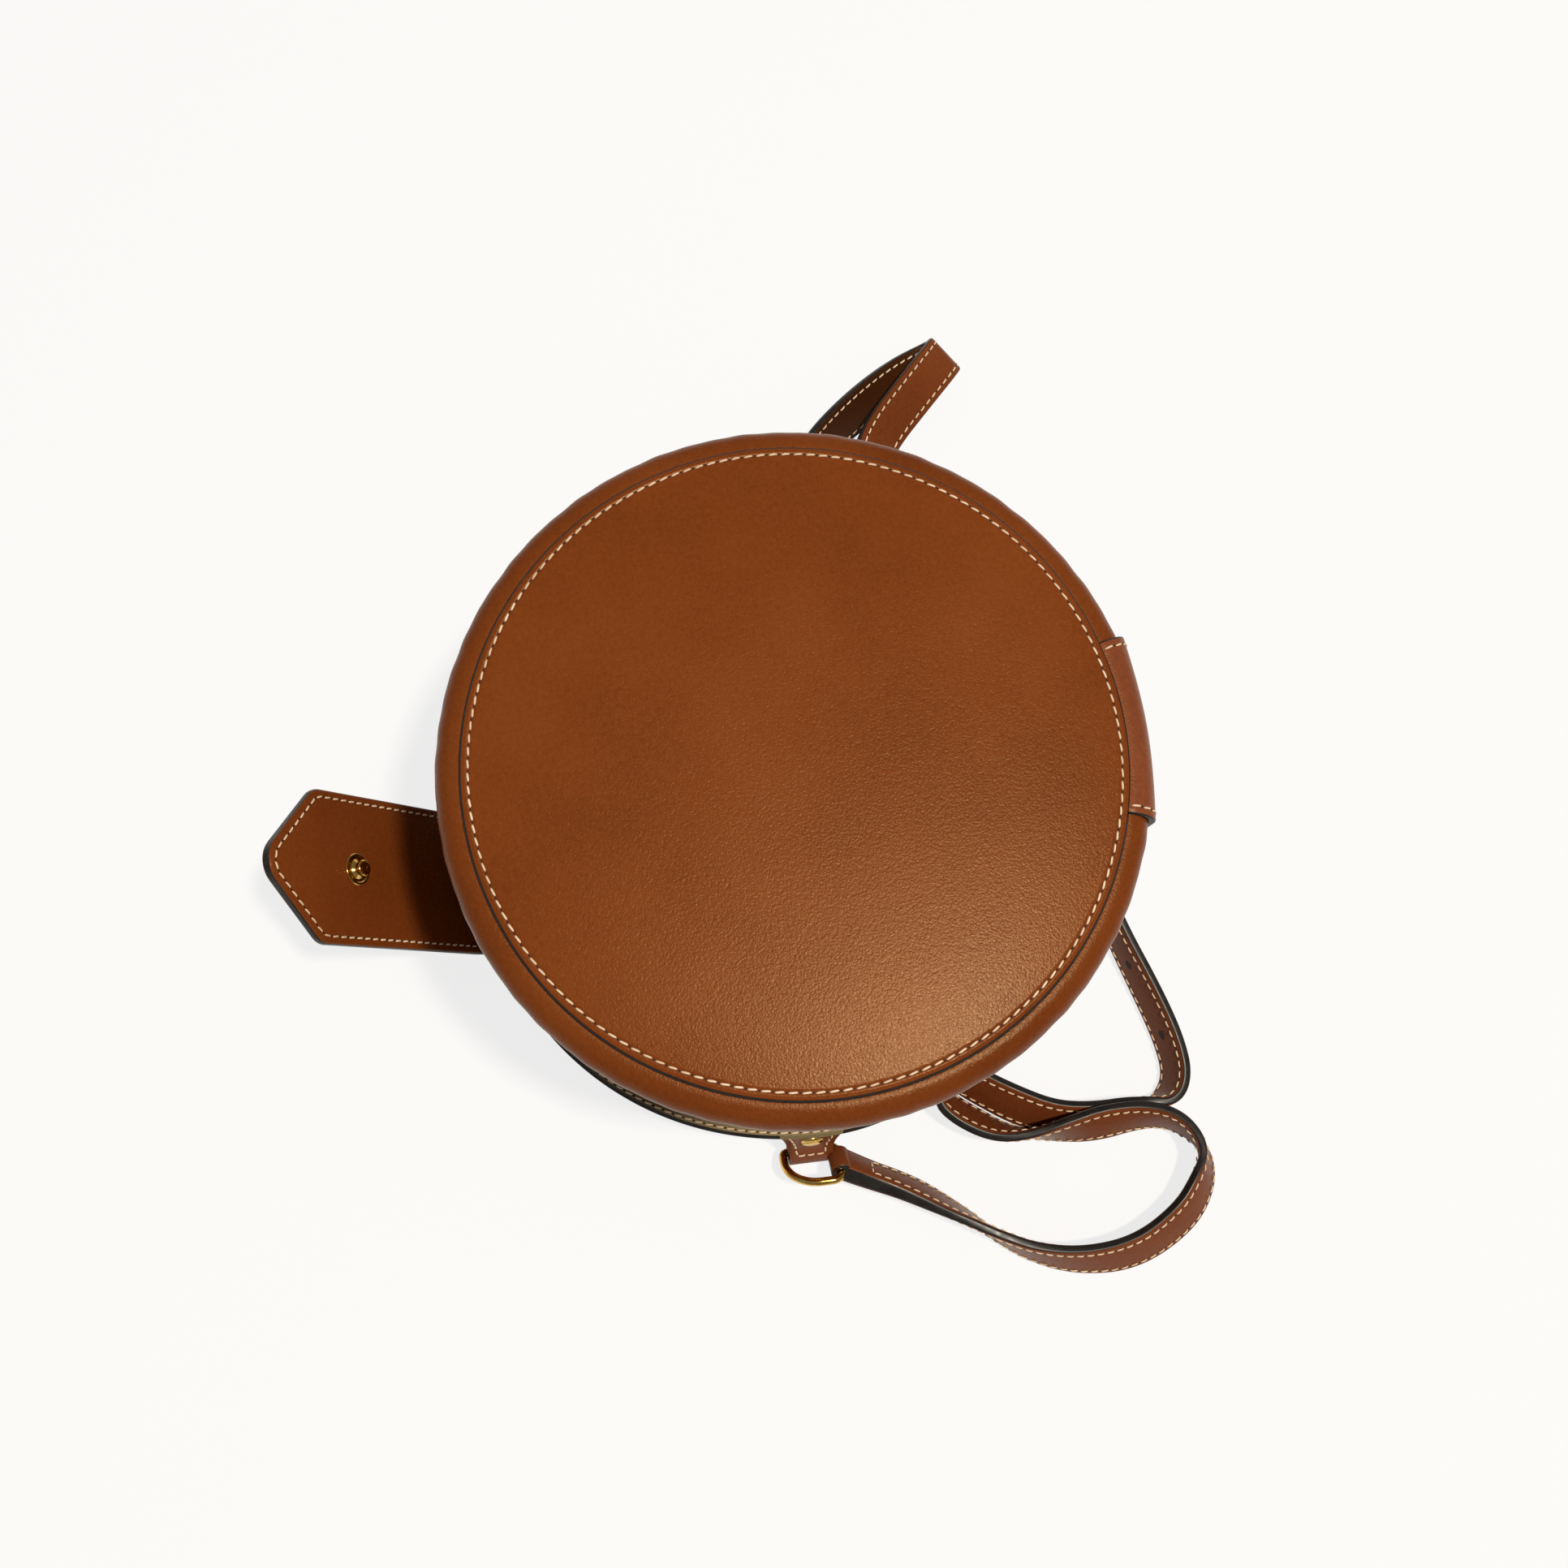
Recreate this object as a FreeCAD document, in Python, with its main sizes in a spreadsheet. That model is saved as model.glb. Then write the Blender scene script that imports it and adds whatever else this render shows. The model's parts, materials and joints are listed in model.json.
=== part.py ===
import FreeCAD
import Part
import Sketcher
import math
import os

# A round box bag of stitched leather, standing on its shallow base with its deep lid closed.
# Millimetres, +Z up, the origin in the middle of the base panel's resting face.
# The closure tab is at the front (-Y), the belt that hinges the lid is at the back (+Y).

DRIVING = [
    ("bag_height", 146.0),
    ("base_height", 28.5),
    ("panel_radius", 90.0),
    ("panel_thickness", 2.6),
    ("board_thickness", 2.0),
    ("rim_stand_out", 0.5),
    ("rim_tube_radius", 6.5),
    ("rim_leather", 1.4),
    ("wall_setback", 2.5),
    ("wall_thickness", 2.2),
    ("lining_thickness", 0.9),
    ("base_lining_thickness", 1.5),
    ("collar_thickness", 1.6),
    ("collar_rise", 12.0),
    ("flange_overhang", 4.0),
    ("flange_width", 6.0),
    ("flange_thickness", 3.0),
    ("seam_gap", 0.3),
    ("belt_width", 48.5),
    ("belt_thickness", 2.0),
    ("hinge_slit", 3.2),
    ("tab_length", 102.2),
    ("tab_shoulder", 78.8),
    ("tab_shoulder_round", 6.0),
    ("tab_tip_round", 9.0),
    ("tab_layer", 1.4),
    ("tab_slope", 58.8),
    ("tab_pivot_clear", 4.5),
    ("tab_pivot_height", 2.6),
    ("tab_root_thickness", 2.0),
    ("snap_place", 62.0),
    ("snap_closed_slope", 93.5),
    ("stud_flange_radius", 5.25),
    ("stud_flange_thickness", 1.2),
    ("stud_post_radius", 2.7),
    ("stud_post_length", 2.6),
    ("cap_radius", 6.2),
    ("cap_thickness", 1.8),
    ("socket_radius", 6.2),
    ("socket_bore_radius", 3.3),
    ("socket_stand", 1.8),
    ("socket_sleeve_wall", 0.8),
    ("backing_thickness", 0.8),
    ("ear_width", 14.8),
    ("ear_root_width", 19.6),
    ("ear_thickness", 2.8),
    ("ear_root_setback", 3.1),
    ("rivet_radius", 3.8),
    ("rivet_drop", 2.6),
    ("rivet_head", 1.6),
    ("rivet_shank_radius", 1.5),
    ("ring_opening", 15.6),
    ("ring_depth", 16.0),
    ("ring_wire_radius", 1.4),
    ("ring_corner", 2.0),
    ("ring_outer_corner", 3.5),
    ("ring_stand_out", 4.5),
    ("ring_bar_height", 6.0),
    ("ring_side", 0.6),
    ("ring_slope", 49.0),
    ("ring_clearance", 0.4),
    ("strap_width", 16.5),
    ("strap_thickness", 3.4),
    ("strap_end_thickness", 5.4),
    ("strap_eye_width", 10.0),
    ("strap_eye_place", 8.4),
    ("strap_taper", 26.0),
    ("strap_hole_radius", 1.6),
    ("strap_hole_first", 79.0),
    ("strap_hole_pitch", 26.0),
    ("buckle_wire_radius", 1.4),
    ("buckle_length", 20.0),
    ("buckle_half_height", 10.15),
    ("buckle_corner", 2.6),
    ("buckle_gap", 0.3),
    ("prong_radius", 1.2),
    ("prong_slot", 14.0),
    ("fold_notch", 5.0),
    ("prong_overhang", 2.0),
    ("keeper_width", 8.0),
    ("keeper_thickness", 1.4),
    ("keeper_place", -31.0),
]

# Sizes that follow from the ones above.
FOLLOWING = [
    ("ground", "0"),
    ("rim_circle", "Sizes.panel_radius + Sizes.rim_stand_out"),
    ("rim_radius", "rim_circle + Sizes.rim_tube_radius"),
    ("wall_radius", "rim_radius - Sizes.wall_setback"),
    ("flange_radius", "wall_radius + Sizes.flange_overhang"),
    ("tab_pivot_reach", "flange_radius + Sizes.tab_pivot_clear"),
    ("ear_root_reach", "flange_radius - Sizes.ear_root_setback"),
    ("ring_reach", "flange_radius + Sizes.ring_stand_out"),
    ("rim_hollow", "Sizes.rim_tube_radius - Sizes.rim_leather"),
    ("rim_core", "Sizes.rim_tube_radius - Sizes.rim_leather - Sizes.seam_gap"),
    ("base_rim_height", "Sizes.panel_thickness + Sizes.rim_tube_radius"),
    ("lid_rim_height", "Sizes.bag_height - Sizes.panel_thickness - Sizes.rim_tube_radius"),
    ("board_radius", "rim_circle - Sizes.rim_tube_radius - Sizes.seam_gap"),
    ("lid_panel_low", "Sizes.bag_height - Sizes.panel_thickness"),
    ("lid_board_low", "lid_panel_low - Sizes.board_thickness"),
    ("base_wall_low", "base_rim_height + Sizes.rim_tube_radius"),
    ("lid_wall_high", "lid_rim_height - Sizes.rim_tube_radius"),
    ("flange_top", "Sizes.base_height + Sizes.flange_thickness"),
    ("flange_inner", "flange_radius - Sizes.flange_width"),
    ("mouth_low", "flange_top + Sizes.seam_gap"),
    ("wall_inner", "wall_radius - Sizes.wall_thickness"),
    ("lining_outer", "wall_inner - Sizes.seam_gap"),
    ("lid_lining_inner", "lining_outer - Sizes.lining_thickness"),
    ("lid_lining_step", "lid_wall_high - Sizes.seam_gap"),
    ("lid_lining_step_under", "lid_lining_step - Sizes.lining_thickness"),
    ("lid_lining_ceiling", "lid_board_low - Sizes.lining_thickness"),
    ("lid_lining_narrow", "board_radius - Sizes.lining_thickness"),
    ("base_lining_inner", "lining_outer - Sizes.base_lining_thickness"),
    ("base_board_top", "Sizes.panel_thickness + Sizes.board_thickness"),
    ("base_lining_floor", "base_board_top + Sizes.base_lining_thickness"),
    ("base_lining_narrow", "board_radius - Sizes.base_lining_thickness"),
    ("base_lining_step_under", "base_wall_low + Sizes.seam_gap"),
    ("base_lining_step", "base_lining_step_under + Sizes.base_lining_thickness"),
    ("collar_outer", "base_lining_inner - Sizes.seam_gap"),
    ("collar_inner", "collar_outer - Sizes.collar_thickness"),
    ("collar_high", "flange_top + Sizes.collar_rise"),
    ("belt_inner", "rim_radius + Sizes.seam_gap"),
    ("belt_low_inner", "flange_radius + Sizes.seam_gap"),
    ("hinge_reach", "belt_low_inner + Sizes.belt_thickness / 2"),
    ("hinge_height", "Sizes.base_height + Sizes.flange_thickness / 2"),
    ("belt_low", "hinge_height + Sizes.hinge_slit / 2"),
    ("leaf_high", "hinge_height - Sizes.hinge_slit / 2"),
    ("socket_sleeve", "Sizes.socket_bore_radius + Sizes.socket_sleeve_wall"),
    ("socket_hole", "socket_sleeve + Sizes.seam_gap / 3"),
    ("ring_half", "(Sizes.ring_opening + 2 * Sizes.ring_wire_radius) / 2"),
]

# The strap's middle line as it lies: place, then how far its upper edge leans along X and Y.
LONG_ROUTE = [
    (108.0, 9.8, 11.7, 0.656, 0.0),
    (113.4, 19.2, 9.9, 0.46, -0.05),
    (117.6, 28.5, 9.0, 0.4, -0.12),
    (122.6, 37.5, 8.7, 0.34, -0.17),
    (131.3, 50.6, 8.9, 0.14, -0.12),
    (138.1, 59.4, 8.8, -0.02, 0.02),
    (145.3, 70.8, 8.9, -0.22, 0.12),
    (150.2, 87.0, 8.5, -0.48, 0.1),
    (149.8, 106.4, 7.8, -0.66, -0.08),
    (140.6, 124.4, 7.6, -0.6, -0.4),
    (130.4, 132.8, 7.8, -0.35, -0.58),
    (121.3, 135.2, 8.4, -0.02, -0.45),
    (113.4, 131.2, 9.6, 0.0, -0.05),
    (107.3, 123.4, 11.6, -0.23, 0.12),
    (105.2, 112.6, 13.6, -0.48, 0.08),
    (106.0, 99.7, 14.4, -0.62, -0.05),
    (107.0, 88.5, 13.8, -0.42, -0.1),
    (107.3, 77.5, 11.0, -0.05, 0.0),
    (105.6, 67.8, 9.2, 0.22, -0.05),
    (101.9, 60.2, 8.8, 0.36, -0.2),
    (96.5, 52.4, 8.8, 0.33, -0.26),
    (91.3, 47.2, 8.9, 0.15, -0.15),
    (86.6, 47.4, 8.9, 0.0, 0.0),
    (84.8, 52.8, 8.9, -0.12, 0.08),
    (87.2, 58.4, 8.8, -0.32, 0.2),
    (91.3, 64.0, 8.5, -0.47, 0.29),
    (97.4, 73.6, 8.4, -0.48, 0.28),
    (101.4, 82.0, 8.3, -0.54, 0.2),
    (103.6, 90.0, 8.1, -0.6, 0.05),
    (104.8, 99.7, 8.0, -0.63, 0.0),
    (103.6, 110.0, 8.3, -0.5, 0.0),
    (102.2, 117.6, 8.9, -0.2, 0.0),
    (101.4, 123.2, 8.8, 0.1, 0.08),
    (97.8, 127.8, 8.8, 0.17, 0.17),
    (91.6, 129.9, 8.8, 0.07, 0.22),
    (84.0, 129.4, 8.8, 0.03, 0.24),
    (74.8, 127.5, 8.8, 0.0, 0.25),
    (60.8, 123.2, 9.0, -0.07, 0.22),
    (46.0, 118.0, 10.0, -0.03, 0.16),
    (34.0, 114.6, 11.4, 0.0, 0.08),
    (22.0, 113.2, 12.2, 0.0, 0.0),
    (6.0, 113.0, 12.2, 0.0, 0.0),
    (-50.0, 113.0, 12.2, 0.0, 0.0),
]
SHORT_ROUTE = [
    (-12.0, 107.7, 12.2, 0.0, 0.0),
    (-46.0, 107.7, 12.2, 0.0, 0.0),
    (-66.0, 103.5, 11.0, 0.0, 0.0),
    (-84.0, 93.0, 9.6, 0.0, 0.0),
    (-99.0, 80.0, 9.3, 0.0, 0.0),
    (-113.0, 66.5, 9.8, -0.1, -0.1),
    (-125.0, 56.5, 10.8, -0.3, -0.3),
    (-137.5, 51.5, 12.4, -0.5, -0.55),
    (-151.0, 59.2, 13.2, -0.62, -0.65),
    (-165.2, 72.7, 13.8, -0.63, -0.66),
    (-181.0, 87.9, 14.0, -0.64, -0.66),
    (-182.4, 86.4, 5.8, -0.64, -0.66),
    (-175.4, 69.4, 6.6, -0.56, -0.58),
    (-163.1, 50.4, 7.8, -0.45, -0.47),
    (-148.6, 33.6, 8.6, -0.33, -0.38),
    (-135.0, 24.5, 9.2, -0.12, -0.36),
    (-122.5, 22.5, 9.8, -0.05, -0.35),
    (-112.5, 19.5, 10.6, -0.36, -0.36),
    (-108.0, 9.8, 11.7, -0.656, 0.0),
]

HOLE_COUNT = 3
BEND_SHARE = 0.45  # how much of a run a bend takes at each end
LEAST_TURN = math.radians(3)
STEP_TURN = math.radians(16)

document = FreeCAD.newDocument("CircleBag")
made = []


def filled_sheet(name, rows):
    sheet = document.addObject("Spreadsheet::Sheet", name)
    for row, (alias, content) in enumerate(rows, start=1):
        sheet.set("A%d" % row, alias)
        sheet.set("B%d" % row, content)
        sheet.setAlias("B%d" % row, alias)
    return sheet


sizes = filled_sheet("Sizes", [(alias, str(number)) for alias, number in DRIVING])
places = filled_sheet("Places", [(alias, "=" + formula) for alias, formula in FOLLOWING])
document.recompute()
driving_names = [alias for alias, number in DRIVING]


def value(alias):
    sheet = sizes if alias in driving_names else places
    return float(sheet.get(alias))


def cell(alias):
    return ("Sizes." if alias in driving_names else "Places.") + alias


def finished(item, label):
    item.Label = label
    made.append(item)
    return item


# A ring turned about Z from corners that are pairs of named sizes.
def turned_ring(label, corners, keep=True):
    body = document.addObject("PartDesign::Body", label)
    sketch = body.newObject("Sketcher::SketchObject", label + "_profile")
    plane = next(part for part in body.Origin.OriginFeatures if part.Role == "XZ_Plane")
    sketch.AttachmentSupport = (plane, [""])
    sketch.MapMode = "FlatFace"
    points = [FreeCAD.Vector(value(across), value(up), 0) for across, up in corners]
    count = len(points)
    for index in range(count):
        sketch.addGeometry(Part.LineSegment(points[index], points[(index + 1) % count]), False)
    for index in range(count):
        sketch.addConstraint(Sketcher.Constraint("Coincident", index, 2, (index + 1) % count, 1))
    for index, (across, up) in enumerate(corners):
        for kind, alias in (("DistanceX", across), ("DistanceY", up)):
            number = sketch.addConstraint(Sketcher.Constraint(kind, -1, 1, index, 1, value(alias)))
            sketch.setExpression("Constraints[%d]" % number, cell(alias))
    turn = body.newObject("PartDesign::Revolution", label + "_turned")
    turn.Profile = sketch
    turn.ReferenceAxis = (sketch, ["V_Axis"])
    turn.Angle = 360
    return finished(body, label) if keep else body


# A round plate padded upwards from a named height.
def round_plate(label, radius, low, thickness):
    body = document.addObject("PartDesign::Body", label)
    sketch = body.newObject("Sketcher::SketchObject", label + "_outline")
    plane = next(part for part in body.Origin.OriginFeatures if part.Role == "XY_Plane")
    sketch.AttachmentSupport = (plane, [""])
    sketch.MapMode = "FlatFace"
    sketch.addGeometry(Part.Circle(FreeCAD.Vector(0, 0, 0), FreeCAD.Vector(0, 0, 1), value(radius)), False)
    sketch.addConstraint(Sketcher.Constraint("Coincident", 0, 3, -1, 1))
    number = sketch.addConstraint(Sketcher.Constraint("Radius", 0, value(radius)))
    sketch.setExpression("Constraints[%d]" % number, cell(radius))
    pad = body.newObject("PartDesign::Pad", label + "_pad")
    pad.Profile = sketch
    pad.setExpression("Length", cell(thickness))
    body.setExpression("Placement.Base.z", cell(low))
    return finished(body, label)


def torus(name, circle, tube, height):
    item = document.addObject("Part::Torus", name)
    item.setExpression("Radius1", cell(circle))
    item.setExpression("Radius2", cell(tube))
    item.setExpression("Placement.Base.z", cell(height))
    return item


# A rolled rim: a leather tube sewn round a cord.
def rolled_rim(label, height):
    outside = torus(label + "_outside", "rim_circle", "rim_tube_radius", height)
    hollow = torus(label + "_hollow", "rim_circle", "rim_hollow", height)
    rim = document.addObject("Part::Cut", label)
    rim.Base = outside
    rim.Tool = hollow
    finished(rim, label)
    finished(torus(label + "_cord", "rim_circle", "rim_core", height), label + "_core")


def shaped(label, shape):
    item = document.addObject("Part::Feature", label)
    item.Shape = shape
    return finished(item, label)


def vector(x, y, z):
    return FreeCAD.Vector(x, y, z)


# The end panels, boards, rims, walls and linings.
def make_base():
    round_plate("base_panel", "panel_radius", "ground", "panel_thickness")
    round_plate("base_board", "board_radius", "panel_thickness", "board_thickness")
    rolled_rim("base_rim", "base_rim_height")
    turned_ring("base_wall", [
        ("wall_inner", "base_wall_low"),
        ("wall_radius", "base_wall_low"),
        ("wall_radius", "base_height"),
        ("wall_inner", "base_height"),
    ])
    turned_ring("base_flange", [
        ("flange_inner", "base_height"),
        ("flange_radius", "base_height"),
        ("flange_radius", "flange_top"),
        ("flange_inner", "flange_top"),
    ])
    turned_ring("base_lining", [
        ("ground", "base_board_top"),
        ("board_radius", "base_board_top"),
        ("board_radius", "base_lining_step_under"),
        ("lining_outer", "base_lining_step_under"),
        ("lining_outer", "flange_top"),
        ("base_lining_inner", "flange_top"),
        ("base_lining_inner", "base_lining_step"),
        ("base_lining_narrow", "base_lining_step"),
        ("base_lining_narrow", "base_lining_floor"),
        ("ground", "base_lining_floor"),
    ])
    turned_ring("base_collar", [
        ("collar_inner", "base_lining_step"),
        ("collar_outer", "base_lining_step"),
        ("collar_outer", "collar_high"),
        ("collar_inner", "collar_high"),
    ])


# A cylinder along Y through the front wall at the socket's height, used as a cutter.
def socket_cutter(name):
    cutter = document.addObject("Part::Cylinder", name)
    cutter.setExpression("Radius", cell("socket_hole"))
    cutter.setExpression("Height", cell("wall_radius"))
    forward = FreeCAD.Rotation(vector(1, 0, 0), 90)
    cutter.Placement = FreeCAD.Placement(vector(0, 0, socket_height()), forward)
    return cutter


def socket_height():
    lean = math.radians(value("snap_closed_slope"))
    return value("tab_pivot_height") + value("snap_place") * math.sin(lean)


def pierced(label, ring):
    cut = document.addObject("Part::Cut", label)
    cut.Base = ring
    cut.Tool = socket_cutter(label + "_hole")
    return finished(cut, label)


def make_lid():
    round_plate("lid_panel", "panel_radius", "lid_panel_low", "panel_thickness")
    round_plate("lid_board", "board_radius", "lid_board_low", "board_thickness")
    rolled_rim("lid_rim", "lid_rim_height")
    pierced("lid_wall", turned_ring("lid_wall_ring", [
        ("wall_inner", "mouth_low"),
        ("wall_radius", "mouth_low"),
        ("wall_radius", "lid_wall_high"),
        ("wall_inner", "lid_wall_high"),
    ], keep=False))
    pierced("lid_lining", turned_ring("lid_lining_cup", [
        ("lid_lining_inner", "mouth_low"),
        ("lining_outer", "mouth_low"),
        ("lining_outer", "lid_lining_step"),
        ("board_radius", "lid_lining_step"),
        ("board_radius", "lid_board_low"),
        ("ground", "lid_board_low"),
        ("ground", "lid_lining_ceiling"),
        ("lid_lining_narrow", "lid_lining_ceiling"),
        ("lid_lining_narrow", "lid_lining_step_under"),
        ("lid_lining_inner", "lid_lining_step_under"),
    ], keep=False))


# The belt that hinges the lid: one half sewn on the lid, one on the base, a slit at the hinge line.
def belt_strip(profile):
    half_angle = math.degrees(math.asin(value("belt_width") / 2 / value("belt_inner")))
    face = Part.Face(profile)
    face.rotate(vector(0, 0, 0), vector(0, 0, 1), 90 - half_angle)
    return face.revolve(vector(0, 0, 0), vector(0, 0, 1), 2 * half_angle)


def straight(start, end):
    return Part.LineSegment(start, end).toShape()


# A strip's profile: a quarter turn over a rim (up is 1) or under one (up is -1), then on to the hinge slit.
def strip_profile(rim_height, end_height, up):
    circle = value("rim_circle")
    near = value("belt_inner") - circle
    far = near + value("belt_thickness")
    end_inner = vector(value("belt_low_inner"), 0, end_height)
    end_outer = vector(value("belt_low_inner") + value("belt_thickness"), 0, end_height)
    arcs = []
    for radius in (near, far):
        turn = radius * math.sqrt(0.5)
        top = vector(circle, 0, rim_height + up * radius)
        middle = vector(circle + turn, 0, rim_height + up * turn)
        side = vector(circle + radius, 0, rim_height)
        arcs.append((top, side, Part.Arc(top, middle, side).toShape()))
    (near_top, near_side, near_arc), (far_top, far_side, far_arc) = arcs
    return Part.Wire(Part.sortEdges([
        near_arc,
        straight(near_side, end_inner),
        straight(end_inner, end_outer),
        straight(end_outer, far_side),
        far_arc,
        straight(far_top, near_top),
    ])[0])


def make_belt():
    shaped("back_belt", belt_strip(strip_profile(value("lid_rim_height"), value("belt_low"), 1)))
    shaped("hinge_leaf", belt_strip(strip_profile(value("base_rim_height"), value("leaf_high"), -1)))


# The tab's outline in its own plane: along the tab from its pivot line, and across.
def tab_outline():
    half = value("belt_width") / 2
    shoulder = value("tab_shoulder")
    corners = [
        vector(0, -half, 0),
        vector(shoulder, -half, 0),
        vector(value("tab_length"), 0, 0),
        vector(shoulder, half, 0),
        vector(0, half, 0),
    ]
    return Part.Face(Part.makePolygon(corners + corners[:1]))


def rounded_plate(face, thickness):
    plate = face.extrude(vector(0, 0, thickness))
    shoulders = []
    for edge in plate.Edges:
        start, end = (vertex.Point for vertex in edge.Vertexes)
        upright = abs(start.x - end.x) < 1e-6 and abs(start.y - end.y) < 1e-6
        if upright and abs(start.x - value("tab_shoulder")) < 1e-6:
            shoulders.append(edge)
    plate = plate.makeFillet(value("tab_shoulder_round"), shoulders)
    tips = [
        edge for edge in plate.Edges
        if len(edge.Vertexes) == 2 and max(abs(vertex.Point.y) for vertex in edge.Vertexes) < 1e-6
    ]
    return plate.makeFillet(value("tab_tip_round"), tips)


def tab_placement():
    pivot = vector(0, -value("tab_pivot_reach"), value("tab_pivot_height"))
    flat = FreeCAD.Rotation(vector(0, -1, 0), vector(1, 0, 0), vector(0, 0, 1), "XYZ")
    lift = FreeCAD.Rotation(vector(1, 0, 0), -value("tab_slope"))
    return FreeCAD.Placement(pivot, lift.multiply(flat))


def make_tab():
    placement = tab_placement()
    layer = value("tab_layer")
    snap = value("snap_place")
    inner = rounded_plate(tab_outline(), layer)
    outer = inner.translated(vector(0, 0, -layer))
    half = value("belt_width") / 2
    knuckle = Part.makeCylinder(layer, 2 * half, vector(0, -half, 0), vector(0, 1, 0))
    outer = outer.fuse(knuckle).removeSplitter()
    inner = inner.cut(knuckle)
    hole = Part.makeCylinder(value("rivet_shank_radius"), 2 * layer, vector(snap, 0, -layer))
    shank_radius = value("rivet_shank_radius") - value("seam_gap") / 3
    shank = Part.makeCylinder(shank_radius, 2 * layer, vector(snap, 0, -layer))
    flange_place = vector(snap, 0, layer)
    flange = Part.makeCylinder(value("stud_flange_radius"), value("stud_flange_thickness"), flange_place)
    post_low = layer + value("stud_flange_thickness")
    post = Part.makeCylinder(value("stud_post_radius"), value("stud_post_length"), vector(snap, 0, post_low))
    post_edge = [edge for edge in post.Edges if edge.BoundBox.ZMin > post_low + 0.1]
    post = post.makeFillet(value("stud_post_radius") / 3, post_edge)
    stud = flange.fuse([post, shank]).removeSplitter()
    cap_low = -layer - value("cap_thickness")
    cap = Part.makeCylinder(value("cap_radius"), value("cap_thickness"), vector(snap, 0, cap_low))
    cap_edge = [edge for edge in cap.Edges if edge.BoundBox.ZMax < cap_low + 0.1]
    cap = cap.makeFillet(value("cap_thickness") / 2, cap_edge)
    for label, shape in (
        ("closure_tab", outer.cut(hole)),
        ("tab_facing", inner.cut(hole)),
        ("snap_stud", stud),
        ("snap_cap", cap),
    ):
        item = shaped(label, shape)
        item.Placement = placement


# The tab's root: a leaf from the base panel's edge, under the rim, out to the tab's pivot line.
def make_tab_root():
    thickness = value("tab_root_thickness")
    low = value("seam_gap")
    reach = value("tab_pivot_reach") - value("tab_layer") - value("seam_gap")
    half = value("belt_width") / 2
    strip = Part.makeBox(2 * half, reach, thickness, vector(-half, -reach, low))
    panel_edge = value("panel_radius") + value("seam_gap")
    panel = Part.makeCylinder(panel_edge, 4 * thickness, vector(0, 0, -thickness))
    shaped("tab_root", strip.cut(panel))


# The socket that the stud snaps into, its sleeve through the wall, and the ring behind the lining.
def make_socket():
    height = socket_height()
    outward = vector(0, -1, 0)
    front = value("wall_radius") + value("seam_gap")
    stand = value("socket_stand") - value("seam_gap")
    back = value("lid_lining_inner") - value("seam_gap")
    disc = Part.makeCylinder(value("socket_radius"), stand, vector(0, -front, height), outward)
    sleeve = Part.makeCylinder(value("socket_sleeve"), front - back, vector(0, -back, height), outward)
    bore_length = front + stand - back
    bore = Part.makeCylinder(value("socket_bore_radius"), bore_length, vector(0, -back, height), outward)
    rounded = [edge for edge in disc.Edges if edge.BoundBox.YMax < -front - stand / 2]
    disc = disc.makeFillet(stand / 3, rounded)
    shaped("snap_socket", disc.fuse(sleeve).removeSplitter().cut(bore))
    ring_low = back - value("backing_thickness")
    ring_place = vector(0, -ring_low, height)
    ring = Part.makeCylinder(value("socket_radius"), value("backing_thickness"), ring_place, outward)
    shaped("socket_backing", ring)


# A wire ring: its inner bar lies in the ear's fold, and the rest rises outward at a slope.
def ring_shape():
    half = value("ring_half")
    half_depth = value("ring_depth") / 2
    wire = rounded_square(half_depth, half, value("ring_corner"), value("ring_outer_corner"))
    section = Part.Circle(vector(0, -half, 0), vector(1, 0, 0), value("ring_wire_radius")).toShape()
    pipe = wire.makePipeShell([Part.Wire([section])], True, False)
    pipe.translate(vector(half_depth, 0, 0))
    pipe.rotate(vector(0, 0, 0), vector(0, 1, 0), -value("ring_slope"))
    pipe.translate(ring_bar())
    return pipe


# A closed path with rounded corners: one radius on its -X side, another on its +X side.
def rounded_square(half_x, half_y, corner, outer_corner):
    edges = []
    for sign_x, sign_y, next_x, next_y in ((1, -1, 1, 1), (1, 1, -1, 1), (-1, 1, -1, -1), (-1, -1, 1, -1)):
        radius = outer_corner if sign_x > 0 else corner
        turn = radius * (1 - math.sqrt(0.5))
        middle = vector(sign_x * (half_x - turn), sign_y * (half_y - turn), 0)
        first, last = corner_ends(half_x, half_y, sign_x, sign_y, radius)
        edges.append(Part.Arc(first, middle, last).toShape())
        next_radius = outer_corner if next_x > 0 else corner
        edges.append(straight(last, corner_ends(half_x, half_y, next_x, next_y, next_radius)[0]))
    edges = [edges[-1]] + edges[:-1]
    return Part.Wire(edges)


def corner_ends(half_x, half_y, sign_x, sign_y, radius):
    ends = (
        vector(sign_x * (half_x - radius), sign_y * half_y, 0),
        vector(sign_x * half_x, sign_y * (half_y - radius), 0),
    )
    return ends if sign_x * sign_y < 0 else ends[::-1]


def ring_bar():
    return vector(value("ring_reach"), value("ring_side"), value("ring_bar_height"))


def ring_rise():
    slope = math.radians(value("ring_slope"))
    return vector(math.cos(slope), 0, math.sin(slope))


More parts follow.
